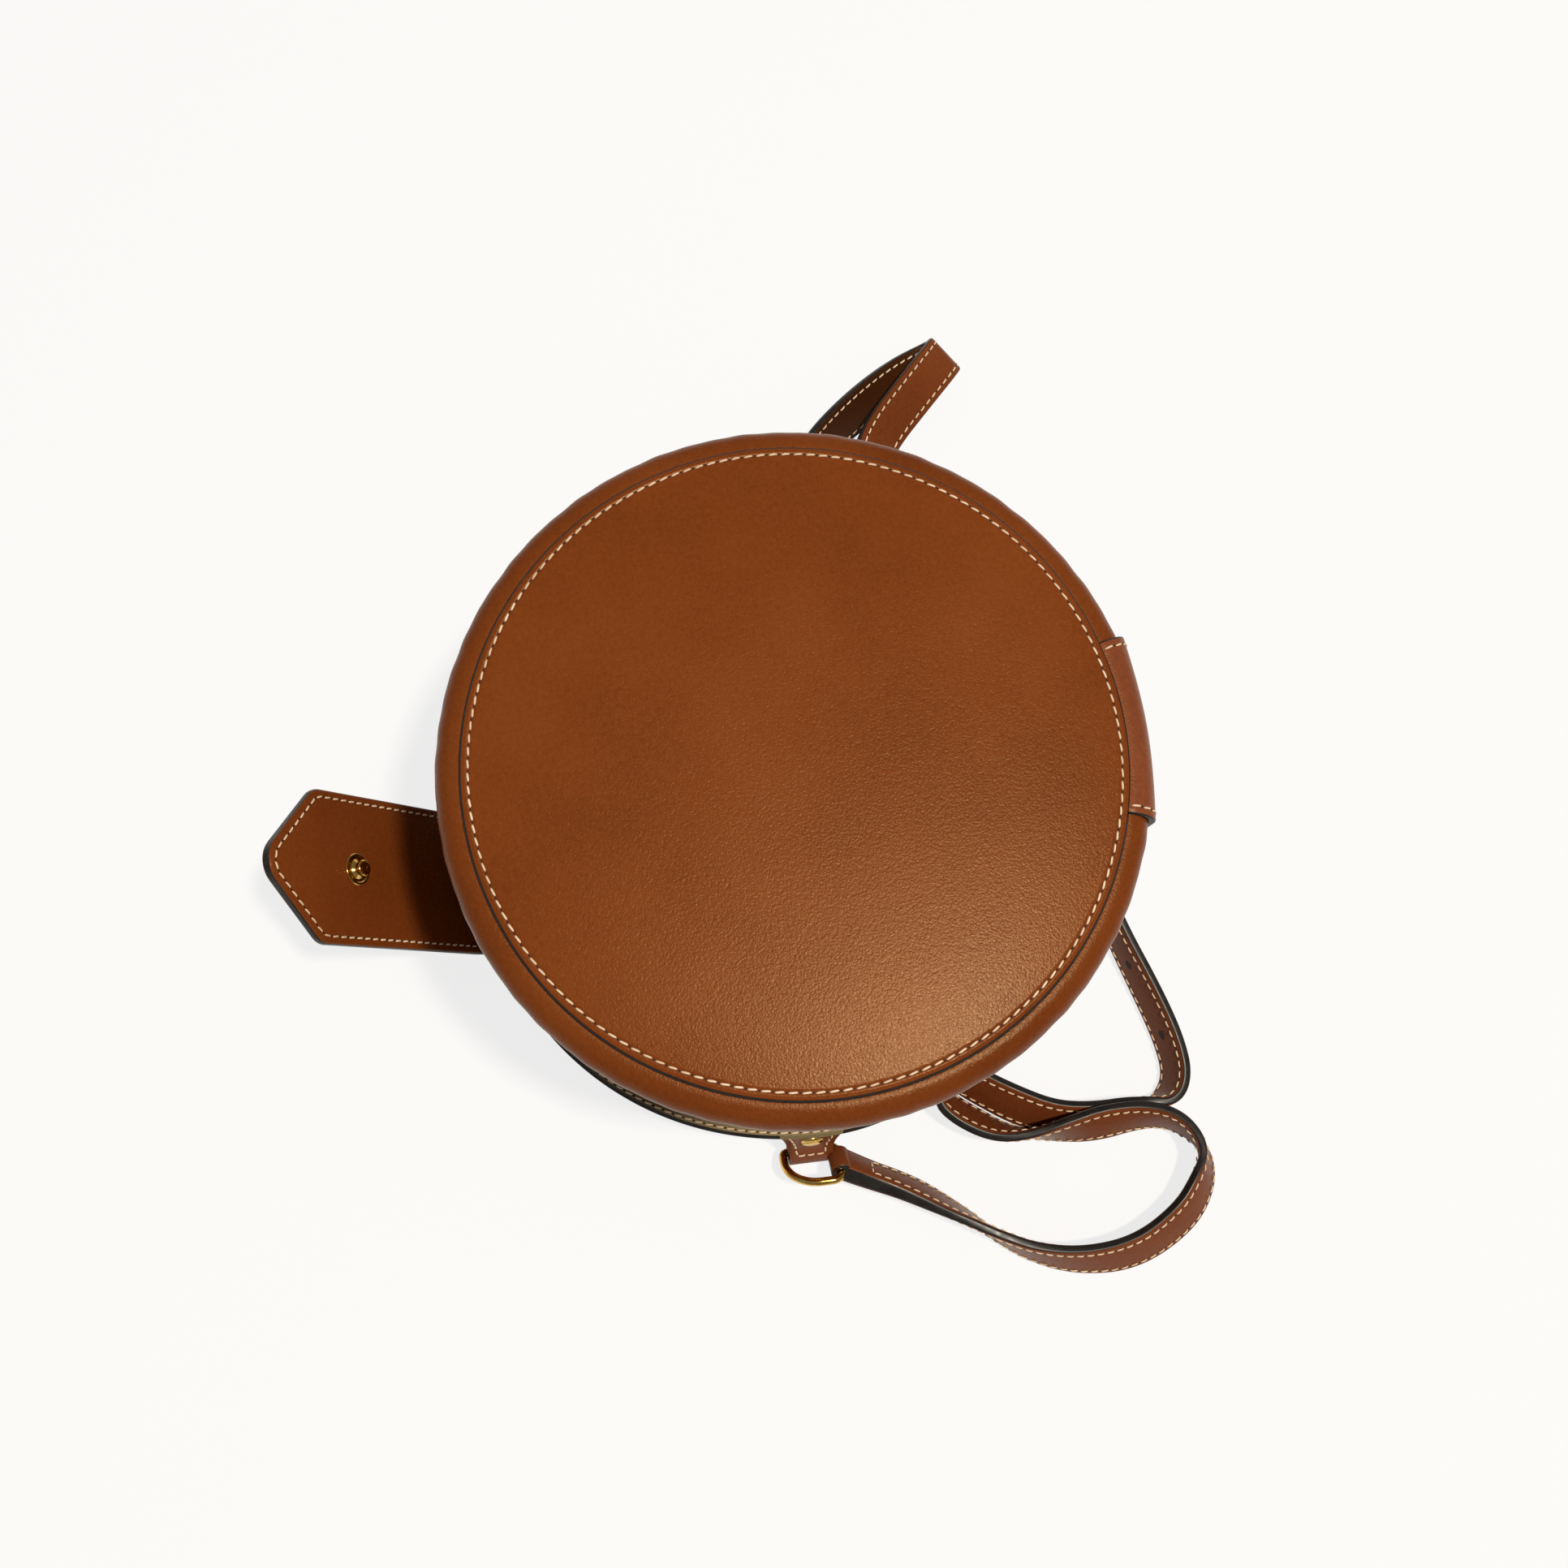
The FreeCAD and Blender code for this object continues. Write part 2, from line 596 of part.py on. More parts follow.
# The leather ear that holds a ring: a doubled leaf from under the flange, folded round the ring's bar.
def ear_shape():
    bar = ring_bar()
    eye = value("ring_wire_radius") + value("ring_clearance")
    thickness = value("ear_thickness")
    outside = eye + thickness / 2
    root_near = value("ear_root_reach")
    root_height = value("base_height") - value("seam_gap")
    leaf_ends = []
    for near, height, width in (
        (root_near, root_height, value("ear_root_width")),
        (bar.x - thickness / 2, bar.z + eye, value("ear_width")),
    ):
        corners = [
            vector(near, bar.y - width / 2, height),
            vector(near + thickness, bar.y - width / 2, height),
            vector(near + thickness, bar.y + width / 2, height),
            vector(near, bar.y + width / 2, height),
        ]
        leaf_ends.append(Part.makePolygon(corners + corners[:1]))
    leaf = Part.makeLoft(leaf_ends, True, True)
    side = bar - vector(0, value("ear_width") / 2, 0)
    fold = Part.makeCylinder(outside, value("ear_width"), side, vector(0, 1, 0))
    hollow = Part.makeCylinder(eye, value("ear_width"), side, vector(0, 1, 0))
    return leaf.fuse(fold).cut(hollow)


# The rivet's head on an ear, a little below the flange.
def rivet_shape():
    bar = ring_bar()
    half_ear = value("ear_thickness") / 2
    root = vector(value("ear_root_reach") + half_ear, bar.y, value("base_height"))
    slope = bar - root
    slope.normalize()
    drop = value("rivet_radius") + value("rivet_drop")
    normal = vector(-slope.z, 0, slope.x)
    return Part.makeCylinder(
        value("rivet_radius"),
        value("rivet_head") + half_ear,
        root + slope * drop,
        normal,
    )


def mirrored(shape):
    return shape.mirror(vector(0, 0, 0), vector(1, 0, 0))


def make_rings():
    ring = ring_shape()
    shaped("right_ring", ring)
    shaped("left_ring", mirrored(ring))
    ear = ear_shape()
    shaped("right_ear", ear)
    shaped("left_ear", mirrored(ear))
    rivet = rivet_shape().cut(ear)
    shaped("right_rivet", rivet)
    shaped("left_rivet", mirrored(rivet))


# Stations along a route: straight runs joined by tangent arcs, each station with its lean.
def stations(route):
    places = [vector(*row[:3]) for row in route]
    leans = [row[3:] for row in route]
    found = [(places[0], leans[0])]
    radii = []
    for index in range(1, len(route) - 1):
        back = places[index - 1] - places[index]
        ahead = places[index + 1] - places[index]
        trim = BEND_SHARE * min(back.Length, ahead.Length)
        back.normalize()
        ahead.normalize()
        turn = math.pi - back.getAngle(ahead)
        if turn < LEAST_TURN:
            found.append((places[index], leans[index]))
            continue
        radius = trim / math.tan(turn / 2)
        radii.append(radius)
        bisector = back + ahead
        bisector.normalize()
        centre = places[index] + bisector * (radius / math.cos(turn / 2))
        spoke = places[index] + back * trim - centre
        axis = spoke.cross(ahead)
        steps = max(2, math.ceil(turn / STEP_TURN))
        for step in range(steps + 1):
            share = step / steps
            turned = FreeCAD.Rotation(axis, math.degrees(turn * share)).multVec(spoke)
            other = leans[index + 1] if share > 0.5 else leans[index - 1]
            reach = abs(2 * share - 1) * BEND_SHARE
            lean = tuple(a + (b - a) * reach for a, b in zip(leans[index], other))
            found.append((centre + turned, lean))
    found.append((places[-1], leans[-1]))
    return found, radii


# The strap's cross-sections: middle, direction across, direction out, width and thickness.
def strap_sections(route):
    found, radii = stations(route)
    print("tightest bend %.1f" % min(radii))
    sections = []
    for index, (middle, (lean_x, lean_y)) in enumerate(found):
        before = found[max(index - 1, 0)][0]
        after = found[min(index + 1, len(found) - 1)][0]
        tangent = after - before
        tangent.normalize()
        upright = vector(lean_x, lean_y, math.sqrt(1 - lean_x ** 2 - lean_y ** 2))
        across = upright - tangent * upright.dot(tangent)
        across.normalize()
        share = min(1, (middle - found[0][0]).Length / value("strap_taper"))
        width = value("strap_eye_width") + share * (value("strap_width") - value("strap_eye_width"))
        end = value("strap_end_thickness")
        thickness = end + share * (value("strap_thickness") - end)
        sections.append((middle, across, tangent.cross(across), width, thickness))
    return sections


# The strap's solid: ruled faces between its leaning cross-sections, closed at both ends.
def ribbon(sections):
    outlines = [strap_outline(section) for section in sections]
    faces = [Part.Face(outlines[0]), Part.Face(outlines[-1])]
    for first, last in zip(outlines, outlines[1:]):
        for first_edge, last_edge in zip(first.Edges, last.Edges):
            faces.append(Part.makeRuledSurface(first_edge, last_edge, 1))
    shell = Part.Shell(faces)
    shell.sewShape()
    solid = Part.Solid(shell)
    if solid.Volume < 0:
        solid.reverse()
    length = 0
    volume = 0
    for before, section in zip(sections, sections[1:]):
        run = (section[0] - before[0]).Length
        length += run
        volume += run * section[3] * section[4]
    print("strap length %.0f" % length, "volume over section times length %.3f" % (solid.Volume / volume))
    return solid


def strap_outline(section):
    middle, across, normal, width, thickness = section
    corners = [
        middle + across * (a * width / 2) + normal * (b * thickness / 2)
        for a, b in ((-1, -1), (1, -1), (1, 1), (-1, 1))
    ]
    return Part.makePolygon(corners + corners[:1])


# The sewn eye at a strap's end, round the side of a ring.
def strap_eye(side):
    rise = ring_rise()
    rise.x = rise.x * side
    middle = eye_place(side)
    inside = value("ring_wire_radius") + value("ring_clearance")
    low = middle - rise * (value("strap_eye_width") / 2)
    outside = value("strap_end_thickness") / 2 + value("ring_clearance")
    tube = Part.makeCylinder(outside, value("strap_eye_width"), low, rise)
    reach = value("strap_width")
    hollow = Part.makeCylinder(inside, 2 * reach, middle - rise * reach, rise)
    return tube, hollow


def eye_place(side):
    place = ring_bar() + ring_rise() * value("strap_eye_place") + vector(0, value("ring_half"), 0)
    return vector(side * place.x, place.y, place.z)


def route_from_ring(route, side):
    rise = ring_rise()
    return [tuple(eye_place(side)) + (side * rise.x, 0)] + route[1:]


# Adjusting holes through a strap, counted from its free end.
def strap_holes(sections):
    holes = []
    wanted = [value("strap_hole_first") + index * value("strap_hole_pitch") for index in range(HOLE_COUNT)]
    length = 0
    before = sections[-1]
    for section in sections[-2::-1]:
        run = (section[0] - before[0]).Length
        for place in [place for place in wanted if length < place <= length + run]:
            middle = before[0] + (section[0] - before[0]) * ((place - length) / run)
            normal = section[2]
            reach = value("strap_thickness")
            start = middle - normal * reach
            holes.append(Part.makeCylinder(value("strap_hole_radius"), 2 * reach, start, normal))
        length += run
        before = section
    return holes


def make_strap():
    tube, hollow = strap_eye(1)
    sections = strap_sections(route_from_ring(LONG_ROUTE, 1))
    long_strap = ribbon(sections).fuse(tube).cut(hollow).cut(strap_holes(sections))
    heel_x, heel_y, heel_z = SHORT_ROUTE[0][:3]
    slot_height = 2 * (value("prong_radius") + value("buckle_gap"))
    through = 2 * value("strap_thickness")
    slot_corner = vector(
        heel_x + value("buckle_wire_radius"),
        LONG_ROUTE[-1][1] - through / 2,
        heel_z - slot_height / 2,
    )
    slot = Part.makeBox(value("prong_slot"), through, slot_height, slot_corner)
    shaped("strap_long", long_strap.cut(slot))
    tube, hollow = strap_eye(-1)
    short_strap = ribbon(strap_sections(route_from_ring(SHORT_ROUTE[::-1], -1))).fuse(tube).cut(hollow)
    heel = value("buckle_wire_radius") + value("ring_clearance")
    heel_outside = heel + value("strap_thickness") / 2
    heel_low = vector(heel_x, heel_y, heel_z - value("strap_width") / 2)
    fold = Part.makeCylinder(heel_outside, value("strap_width"), heel_low)
    bar_way = Part.makeCylinder(heel, value("strap_width"), heel_low)
    notch_height = slot_height + 2 * value("seam_gap")
    notch_corner = vector(heel_x - value("fold_notch"), heel_y - 2 * heel_outside, heel_z - notch_height / 2)
    notch = Part.makeBox(2 * value("fold_notch"), 4 * heel_outside, notch_height, notch_corner)
    shaped("strap_short", short_strap.fuse(fold).cut(bar_way).cut(notch))


# The strap's buckle: a wire frame slanting through the strap, its prong, and a keeper for the strap's end.
def make_buckle():
    heel_x, heel_y, heel_z = SHORT_ROUTE[0][:3]
    wire = value("buckle_wire_radius")
    strap_y = LONG_ROUTE[-1][1]
    front_y = strap_y + value("strap_thickness") / 2 + value("buckle_gap") + wire
    heel = vector(heel_x, heel_y, heel_z)
    front = vector(heel_x + value("buckle_length"), front_y, heel_z)
    slant = front - heel
    half_length = slant.Length / 2
    half_height = value("buckle_half_height")
    corner = value("buckle_corner")
    path = rounded_square(half_length, half_height, corner, corner)
    section = Part.Circle(vector(0, -half_height, 0), vector(1, 0, 0), wire).toShape()
    frame = path.makePipeShell([Part.Wire([section])], True, False)
    frame.rotate(vector(0, 0, 0), vector(1, 0, 0), 90)
    frame.rotate(vector(0, 0, 0), vector(0, 0, 1), math.degrees(math.atan2(slant.y, slant.x)))
    frame.translate((heel + front) * 0.5)
    shaped("buckle_frame", frame)
    prong = value("prong_radius")
    eye_inside = wire + value("buckle_gap") / 5
    eye = Part.makeCylinder(eye_inside + prong, 2 * prong, heel - vector(0, 0, prong))
    rise = wire + prong + value("buckle_gap") / 3
    rest = vector(front.x, front.y, heel_z) + vector(-slant.y, slant.x, 0).normalize() * rise
    direction = rest - heel
    reach = direction.Length + value("prong_overhang")
    pin = Part.makeCylinder(prong, reach, heel, direction)
    tip = Part.makeSphere(prong, heel + direction.normalize() * reach)
    bar_way = Part.makeCylinder(eye_inside, 6 * prong, heel - vector(0, 0, 3 * prong))
    shaped("buckle_prong", eye.fuse([pin, tip]).removeSplitter().cut(bar_way))
    gap = value("buckle_gap")
    half_strap = value("strap_thickness") / 2
    inside_low = vector(
        value("keeper_place"),
        heel_y - half_strap - gap,
        heel_z - value("strap_width") / 2 - gap,
    )
    depth = strap_y - heel_y + 2 * (half_strap + gap)
    tall = value("strap_width") + 2 * gap
    wall = value("keeper_thickness")
    outer_low = inside_low - vector(0, wall, wall)
    outer = Part.makeBox(value("keeper_width"), depth + 2 * wall, tall + 2 * wall, outer_low)
    inner = Part.makeBox(value("keeper_width"), depth, tall, inside_low)
    shaped("strap_keeper", outer.cut(inner))


make_base()
make_lid()
make_belt()
make_tab()
make_tab_root()
make_socket()
make_rings()
make_strap()
make_buckle()
document.recompute()

for item in document.Objects:
    if "Invalid" in item.State or "Error" in item.State:
        raise RuntimeError("%s failed: %s" % (item.Label, item.State))
for item in made:
    if item.Shape.isNull() or not item.Shape.isValid() or not item.Shape.Solids:
        raise RuntimeError("%s has no valid solid" % item.Label)

os.makedirs("parts", exist_ok=True)
for item in made:
    item.Shape.exportStep(os.path.join("parts", item.Label + ".step"))
    print(item.Label, len(item.Shape.Solids), "%.1f" % item.Shape.Volume)
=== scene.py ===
import bmesh
import bpy
import json
import numpy as np
from math import acos, atan2, cos, degrees, exp, pi, radians, sin, sqrt, tan
from mathutils import Matrix, Vector


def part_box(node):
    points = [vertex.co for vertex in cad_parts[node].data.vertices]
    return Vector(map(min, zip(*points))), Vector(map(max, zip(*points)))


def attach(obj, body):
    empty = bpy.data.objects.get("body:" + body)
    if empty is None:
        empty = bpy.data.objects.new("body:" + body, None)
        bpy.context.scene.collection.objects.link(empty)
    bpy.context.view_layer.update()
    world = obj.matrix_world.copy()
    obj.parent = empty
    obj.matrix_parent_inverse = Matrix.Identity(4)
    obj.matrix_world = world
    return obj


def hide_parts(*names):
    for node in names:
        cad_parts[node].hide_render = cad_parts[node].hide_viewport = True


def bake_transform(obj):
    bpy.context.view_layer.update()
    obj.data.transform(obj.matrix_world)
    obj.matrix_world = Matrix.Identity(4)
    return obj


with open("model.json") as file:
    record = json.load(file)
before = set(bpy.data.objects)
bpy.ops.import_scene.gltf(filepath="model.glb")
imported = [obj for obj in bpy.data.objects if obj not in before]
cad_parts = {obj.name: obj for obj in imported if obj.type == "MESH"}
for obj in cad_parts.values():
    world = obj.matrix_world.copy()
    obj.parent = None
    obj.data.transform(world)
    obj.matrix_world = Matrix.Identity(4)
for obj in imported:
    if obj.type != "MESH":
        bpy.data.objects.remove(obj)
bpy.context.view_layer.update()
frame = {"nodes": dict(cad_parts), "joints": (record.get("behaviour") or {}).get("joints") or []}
mm = 0.001
print("frame loaded,", len(frame["nodes"]), "nodes")


def lengths(**given):  # millimetres as metres
    return {name: size * mm for name, size in given.items()}


def at(*numbers):
    return np.array(numbers)


def placed(name, data):  # a new object in the scene
    made = bpy.data.objects.new(name, data)
    bpy.context.scene.collection.objects.link(made)
    return made


def asMesh(made):  # an object's form with its modifier or curve worked out
    bpy.context.view_layer.update()
    return bpy.data.meshes.new_from_object(made.evaluated_get(bpy.context.evaluated_depsgraph_get()))


# places read from the frame
def middle(node):
    low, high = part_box(node)
    return (low + high) / 2


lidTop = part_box("lid_panel")[1].z
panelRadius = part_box("lid_panel")[1].x
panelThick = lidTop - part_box("lid_panel")[0].z
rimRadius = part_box("lid_rim")[1].x
rimTube = (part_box("lid_rim")[1].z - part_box("lid_rim")[0].z) / 2
rimCircle = rimRadius - rimTube
lidRimZ = middle("lid_rim").z
baseRimZ = middle("base_rim").z
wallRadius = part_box("lid_wall")[1].x
wallThick = 2.2 * mm
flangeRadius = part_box("base_flange")[1].x
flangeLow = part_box("base_flange")[0].z
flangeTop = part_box("base_flange")[1].z
joints = {joint["name"]: joint for joint in frame["joints"]}
upright = at(0, 0, 1.0)
eastward = at(1.0, 0, 0)
northward = at(0, 1.0, 0)


# the camera stands where the photograph was taken: its axes as right, up and back
lens = {"place": (95.01, -40.9, 550.4), "focal": 36.06, "sensor": 36.0, "nearest": 0.01,
        "right": (0.12098, 0.99074, 0.06162), "up": (-0.96961, 0.10465, 0.22115),
        "back": (0.21265, -0.0865, 0.97329)}


def placeCamera():
    data = bpy.data.cameras.new("photoCamera")
    data.lens = lens["focal"]
    data.sensor_width = lens["sensor"]
    data.sensor_fit = "HORIZONTAL"
    data.clip_start = lens["nearest"]
    camera = placed("photoCamera", data)
    turn = Matrix((lens["right"], lens["up"], lens["back"])).transposed().to_4x4()
    camera.matrix_world = Matrix.Translation(Vector(lens["place"]) * mm) @ turn
    bpy.context.scene.camera = camera


placeCamera()
print("camera placed")


# shader maths
class Signal:  # a socket that Python's operators work on
    def __init__(self, paint, socket):
        self.paint = paint
        self.socket = socket

    def __add__(self, other):
        return self.paint.reckon("ADD", self, other)

    def __radd__(self, other):
        return self.paint.reckon("ADD", other, self)

    def __sub__(self, other):
        return self.paint.reckon("SUBTRACT", self, other)

    def __rsub__(self, other):
        return self.paint.reckon("SUBTRACT", other, self)

    def __mul__(self, other):
        return self.paint.reckon("MULTIPLY", self, other)


class Paint:  # a material and the nodes in it
    def __init__(self, name):
        self.material = bpy.data.materials.new(name)
        self.material.use_nodes = True
        self.tree = self.material.node_tree
        self.tree.nodes.clear()

    def reckon(self, operation, first, second):
        return self.add("ShaderNodeMath", {"operation": operation}, {0: first, 1: second})

    def add(self, kind, settings=None, inputs=None, output=0):
        node = self.tree.nodes.new(kind)
        for key, setting in (settings or {}).items():
            if key == "stops":  # a ramp's places and colours
                while len(node.color_ramp.elements) < len(setting):
                    node.color_ramp.elements.new(1)
                for element, (place, colour) in zip(node.color_ramp.elements, setting):
                    element.position = place
                    element.color = colour
            else:
                setattr(node, key, setting)
        for key, given in (inputs or {}).items():
            if isinstance(given, Signal):
                self.tree.links.new(given.socket, node.inputs[key])
            else:
                node.inputs[key].default_value = given
        return Signal(self, node.outputs[output]) if len(node.outputs) else None

    def finished(self, shader):
        self.add("ShaderNodeOutputMaterial", {}, {"Surface": shader})
        return self.material


def tone(red, green, blue):  # a screen colour, 0 to 255, as Blender takes it
    linear = [c / 255 / 12.92 if c < 11 else ((c / 255 + 0.055) / 1.055) ** 2.4 for c in (red, green, blue)]
    return (*linear, 1)


def noise(paint, scale, detail, distortion=0.0, rough=0.5):  # soft noise that is fixed to the piece
    spot = paint.add("ShaderNodeTexCoord", {}, {}, "Object")
    inputs = {"Vector": spot, "Scale": scale, "Detail": detail, "Roughness": rough, "Distortion": distortion}
    return paint.add("ShaderNodeTexNoise", {}, inputs, "Fac")


def ramp(paint, share, dyes):  # screen colours, each with its place along the share
    stops = [(place, tone(*dye)) for place, dye in dyes]
    return paint.add("ShaderNodeValToRGB", {"stops": stops}, {"Fac": share}, "Color")


def relief(paint, height, strength, depth):
    inputs = {"Strength": strength, "Distance": depth, "Height": height}
    return paint.add("ShaderNodeBump", {}, inputs, "Normal")


def coated(paint, inputs):
    return paint.finished(paint.add("ShaderNodeBsdfPrincipled", {}, inputs))


# smooth calf leather: soft clouds of colour, fine pebble grain, a little gloss
calf = {"tones": ((100, 46, 15), (121, 60, 22), (135, 72, 33)), "stops": (0.3, 0.5, 0.72),
        "cloud": 16, "fleck": 700, "pebble": 1700, "crease": 1300,
        "hue": {"cloud": 0.5, "fleck": 0.2, "crease": 0.3},
        "rise": {"pebble": 0.55, "crease": 0.9, "fleck": 0.35}, "depth": 0.00007, "strength": 1.0,
        "rough": 0.25, "uneven": {"crease": 0.16, "cloud": 0.06}, "shine": 0.16, "glint": (1, 0.72, 0.42, 1)}


def leatherPaint(name, tones=calf["tones"], deep=1.0, rough=0.0, grain=1.0, shine=1.0):
    paint = Paint(name)
    hue, rise, uneven = calf["hue"], calf["rise"], calf["uneven"]
    cloud = noise(paint, calf["cloud"], 4)
    fleck = noise(paint, calf["fleck"], 5)
    crease = noise(paint, calf["crease"], 6, 0.6, 0.62)
    spot = paint.add("ShaderNodeTexCoord", {}, {}, "Object")
    pebble = paint.add("ShaderNodeTexVoronoi", {"feature": "SMOOTH_F1"},
                       {"Vector": spot, "Scale": calf["pebble"], "Smoothness": 0.6}, "Distance")
    shade = cloud * hue["cloud"] + fleck * hue["fleck"] + crease * hue["crease"]
    dyes = zip(calf["stops"], [[c * deep for c in dye] for dye in tones])
    height = (1 - pebble) * rise["pebble"] + crease * rise["crease"] + fleck * rise["fleck"]
    gloss = calf["rough"] + rough + (crease - 0.5) * uneven["crease"] + (cloud - 0.5) * uneven["cloud"]
    bump = relief(paint, height, calf["strength"] * grain, calf["depth"])
    return coated(paint, {
        "Base Color": ramp(paint, shade, dyes), "Roughness": gloss, "Normal": bump,
        "Specular IOR Level": calf["shine"] * shine, "Specular Tint": calf["glint"]})


# the other finishes: a noise is its scale, detail and distortion, a relief its strength and depth
# painted edges: thick near-black edge coat, slightly uneven
edgeCoat = {"main": (300, 3), "dyes": ((0.3, (17, 14, 12)), (0.75, (34, 28, 24))), "relief": (0.3, 0.0001),
            "rough": 0.38, "uneven": 0.3}
# waxed linen thread, and flat dark discs of painted shade for the awl holes between its stitches
linen = {"main": (5200, 2), "broad": (60, 2), "dyes": ((0.3, (204, 168, 130)), (0.62, (248, 228, 198))),
         "relief": (0.5, 0.0001), "rough": 0.62, "uneven": 0.2}
awlHoleShade = {"main": (900, 2), "dyes": ((0.3, (22, 9, 4)), (0.8, (52, 24, 11))), "rough": 0.8}
# polished brass with a warm lacquer and hair-fine scratches
brassCoat = {"main": (180, 5), "hair": (2400, 2, 2.0), "relief": (0.12, 0.00003), "rough": 0.16,
             "uneven": 0.2, "metal": 1.0, "dyes": ((0.3, (196, 142, 52)), (0.7, (240, 205, 122)))}
# brushed suede lining and the raw board and cord inside
nap = {"broad": (28, 3), "relief": (0.5, 0.0002), "rough": 0.86, "uneven": 0.1}
suede = {**nap, "main": (900, 6, 1.2), "dyes": ((0.3, (70, 42, 24)), (0.7, (126, 84, 54)))}
board = {**nap, "main": (400, 6, 1.2), "dyes": ((0.3, (96, 78, 58)), (0.7, (138, 116, 90)))}
cotton = {**nap, "main": (700, 6, 1.2), "dyes": ((0.3, (150, 132, 104)), (0.7, (198, 182, 152)))}


def plainPaint(name, look):
    paint = Paint(name)
    main = noise(paint, *look["main"])
    share = main * 0.5 + noise(paint, *look["broad"]) * 0.5 if "broad" in look else main
    inputs = {"Base Color": ramp(paint, share, look["dyes"]), "Roughness": look["rough"]}
    if "uneven" in look:
        inputs["Roughness"] = look["rough"] + (main - 0.5) * look["uneven"]
    if "relief" in look:
        height = noise(paint, *look["hair"]) if "hair" in look else main
        inputs["Normal"] = relief(paint, height, *look["relief"])
    if "metal" in look:
        inputs["Metallic"] = look["metal"]
    return coated(paint, inputs)


topLeather = leatherPaint("calfTop")
sideLeather = leatherPaint("calfSide", deep=0.97, rough=0.03)
# a much darker copy of the calf leather: painted shadow inside the short strap's fold
foldPaintedShadow = leatherPaint("calfFold", deep=0.52, rough=0.12)
# lighter, pinker tones than the calf: a painted reflection that the belt catches
beltPaintedSheen = leatherPaint("calfBelt", ((108, 55, 30), (129, 70, 43), (143, 82, 54)), rough=0.03)
# pale khaki grey tones: painted sheen, the grazing reflection of the pale floor on the flange's shaded band
flangePaintedSheen = leatherPaint("calfFlange", ((102, 88, 62), (117, 103, 76), (130, 116, 88)), rough=0.1)
strapLeather = leatherPaint("calfStrap", ((99, 48, 22), (118, 61, 30), (131, 73, 41)), rough=0.02, grain=0.8,
                            shine=0.5)
edgeBlack = plainPaint("edgeCoat", edgeCoat)
thread = plainPaint("linenThread", linen)
awlHole = plainPaint("awlHole", awlHoleShade)
brass = plainPaint("polishedBrass", brassCoat)
liningSuede = plainPaint("liningSuede", suede)
rawBoard = plainPaint("rawBoard", board)
cottonCord = plainPaint("cottonCord", cotton)
print("finishes mixed")


# mesh helpers; points closer than this are one
weld = 0.000002


def newPiece(name, points, faces, paints, kinds=None):
    mesh = bpy.data.meshes.new(name)
    mesh.from_pydata([tuple(p) for p in points], [], faces)
    for paint in paints:
        mesh.materials.append(paint)
    if kinds is not None:
        mesh.polygons.foreach_set("material_index", kinds)
    shell = bmesh.new()
    shell.from_mesh(mesh)
    bmesh.ops.remove_doubles(shell, verts=shell.verts, dist=weld)
    bmesh.ops.recalc_face_normals(shell, faces=shell.faces)
    shell.to_mesh(mesh)
    shell.free()
    mesh.polygons.foreach_set("use_smooth", [True] * len(mesh.polygons))
    return placed(name, mesh)


def gridFaces(rows, columns, closeRows, closeColumns):
    faces = []
    for i in range(rows if closeRows else rows - 1):
        for j in range(columns if closeColumns else columns - 1):
            a, b = i * columns + j, i * columns + (j + 1) % columns
            c, d = ((i + 1) % rows) * columns + (j + 1) % columns, ((i + 1) % rows) * columns + j
            faces.append((a, b, c, d))
    return faces


def endFaces(rows, columns):  # the two ends of an open tube of points
    return [tuple(range(columns)), tuple((rows - 1) * columns + j for j in range(columns))]


def circle(count):  # cosine and sine at even steps round a circle
    return [(cos(2 * pi * s / count), sin(2 * pi * s / count)) for s in range(count)]


def reachAlong(points):  # the distance of each point along its line
    return np.concatenate([[0], np.cumsum(np.linalg.norm(np.diff(points, axis=0), axis=1))])


def unit(vector):
    return vector / np.linalg.norm(vector)


def unitRows(rows):
    return rows / np.linalg.norm(rows, axis=1)[:, None]


def stood(place, axis):  # carries a form that stands on Z to a place and an axis
    turn = Vector((0, 0, 1)).rotation_difference(Vector(axis)).to_matrix().to_4x4()
    return Matrix.Translation(Vector(place)) @ turn


# rounds an outline: each corner is across, up, radius and the paint of the side after it
def softCorners(corners, steps=4):
    rounded = []
    count = len(corners)
    for index, (x, y, radius, kind) in enumerate(corners):
        here = at(x, y)
        if radius == 0:
            rounded.append((x, y, kind))
            continue
        back = unit(np.array(corners[index - 1][:2]) - here)
        ahead = unit(np.array(corners[(index + 1) % count][:2]) - here)
        half = acos(max(-1, min(1, float(back @ ahead)))) / 2
        centre = here + unit(back + ahead) * radius / sin(half)
        first = here + back * radius / tan(half) - centre
        last = here + ahead * radius / tan(half) - centre
        start = atan2(first[1], first[0])
        turn = (atan2(last[1], last[0]) - start + pi) % (2 * pi) - pi
        before = corners[index - 1][3]
        for step in range(steps + 1):
            angle = start + turn * step / steps
            spot = centre + radius * at(cos(angle), sin(angle))
            rounded.append((spot[0], spot[1], kind if step * 2 >= steps else before))
    return rounded


# turns a profile round Z; its rows are radius, height and paint
def lathe(name, profile, paints, steps=288, closed=True, shift=None):
    columns = len(profile)
    points = []
    for step, (cosine, sine) in enumerate(circle(steps)):
        angle = 2 * pi * step / steps
        for radius, height, kind in profile:
            reach = radius + (shift(angle, radius, height) if shift else 0)
            points.append((reach * cosine, reach * sine, height))
    faces = gridFaces(steps, columns, True, closed)
    perRow = columns if closed else columns - 1
    kinds = [profile[j][2] for i in range(steps) for j in range(perRow)]
    return newPiece(name, points, faces, paints, kinds)


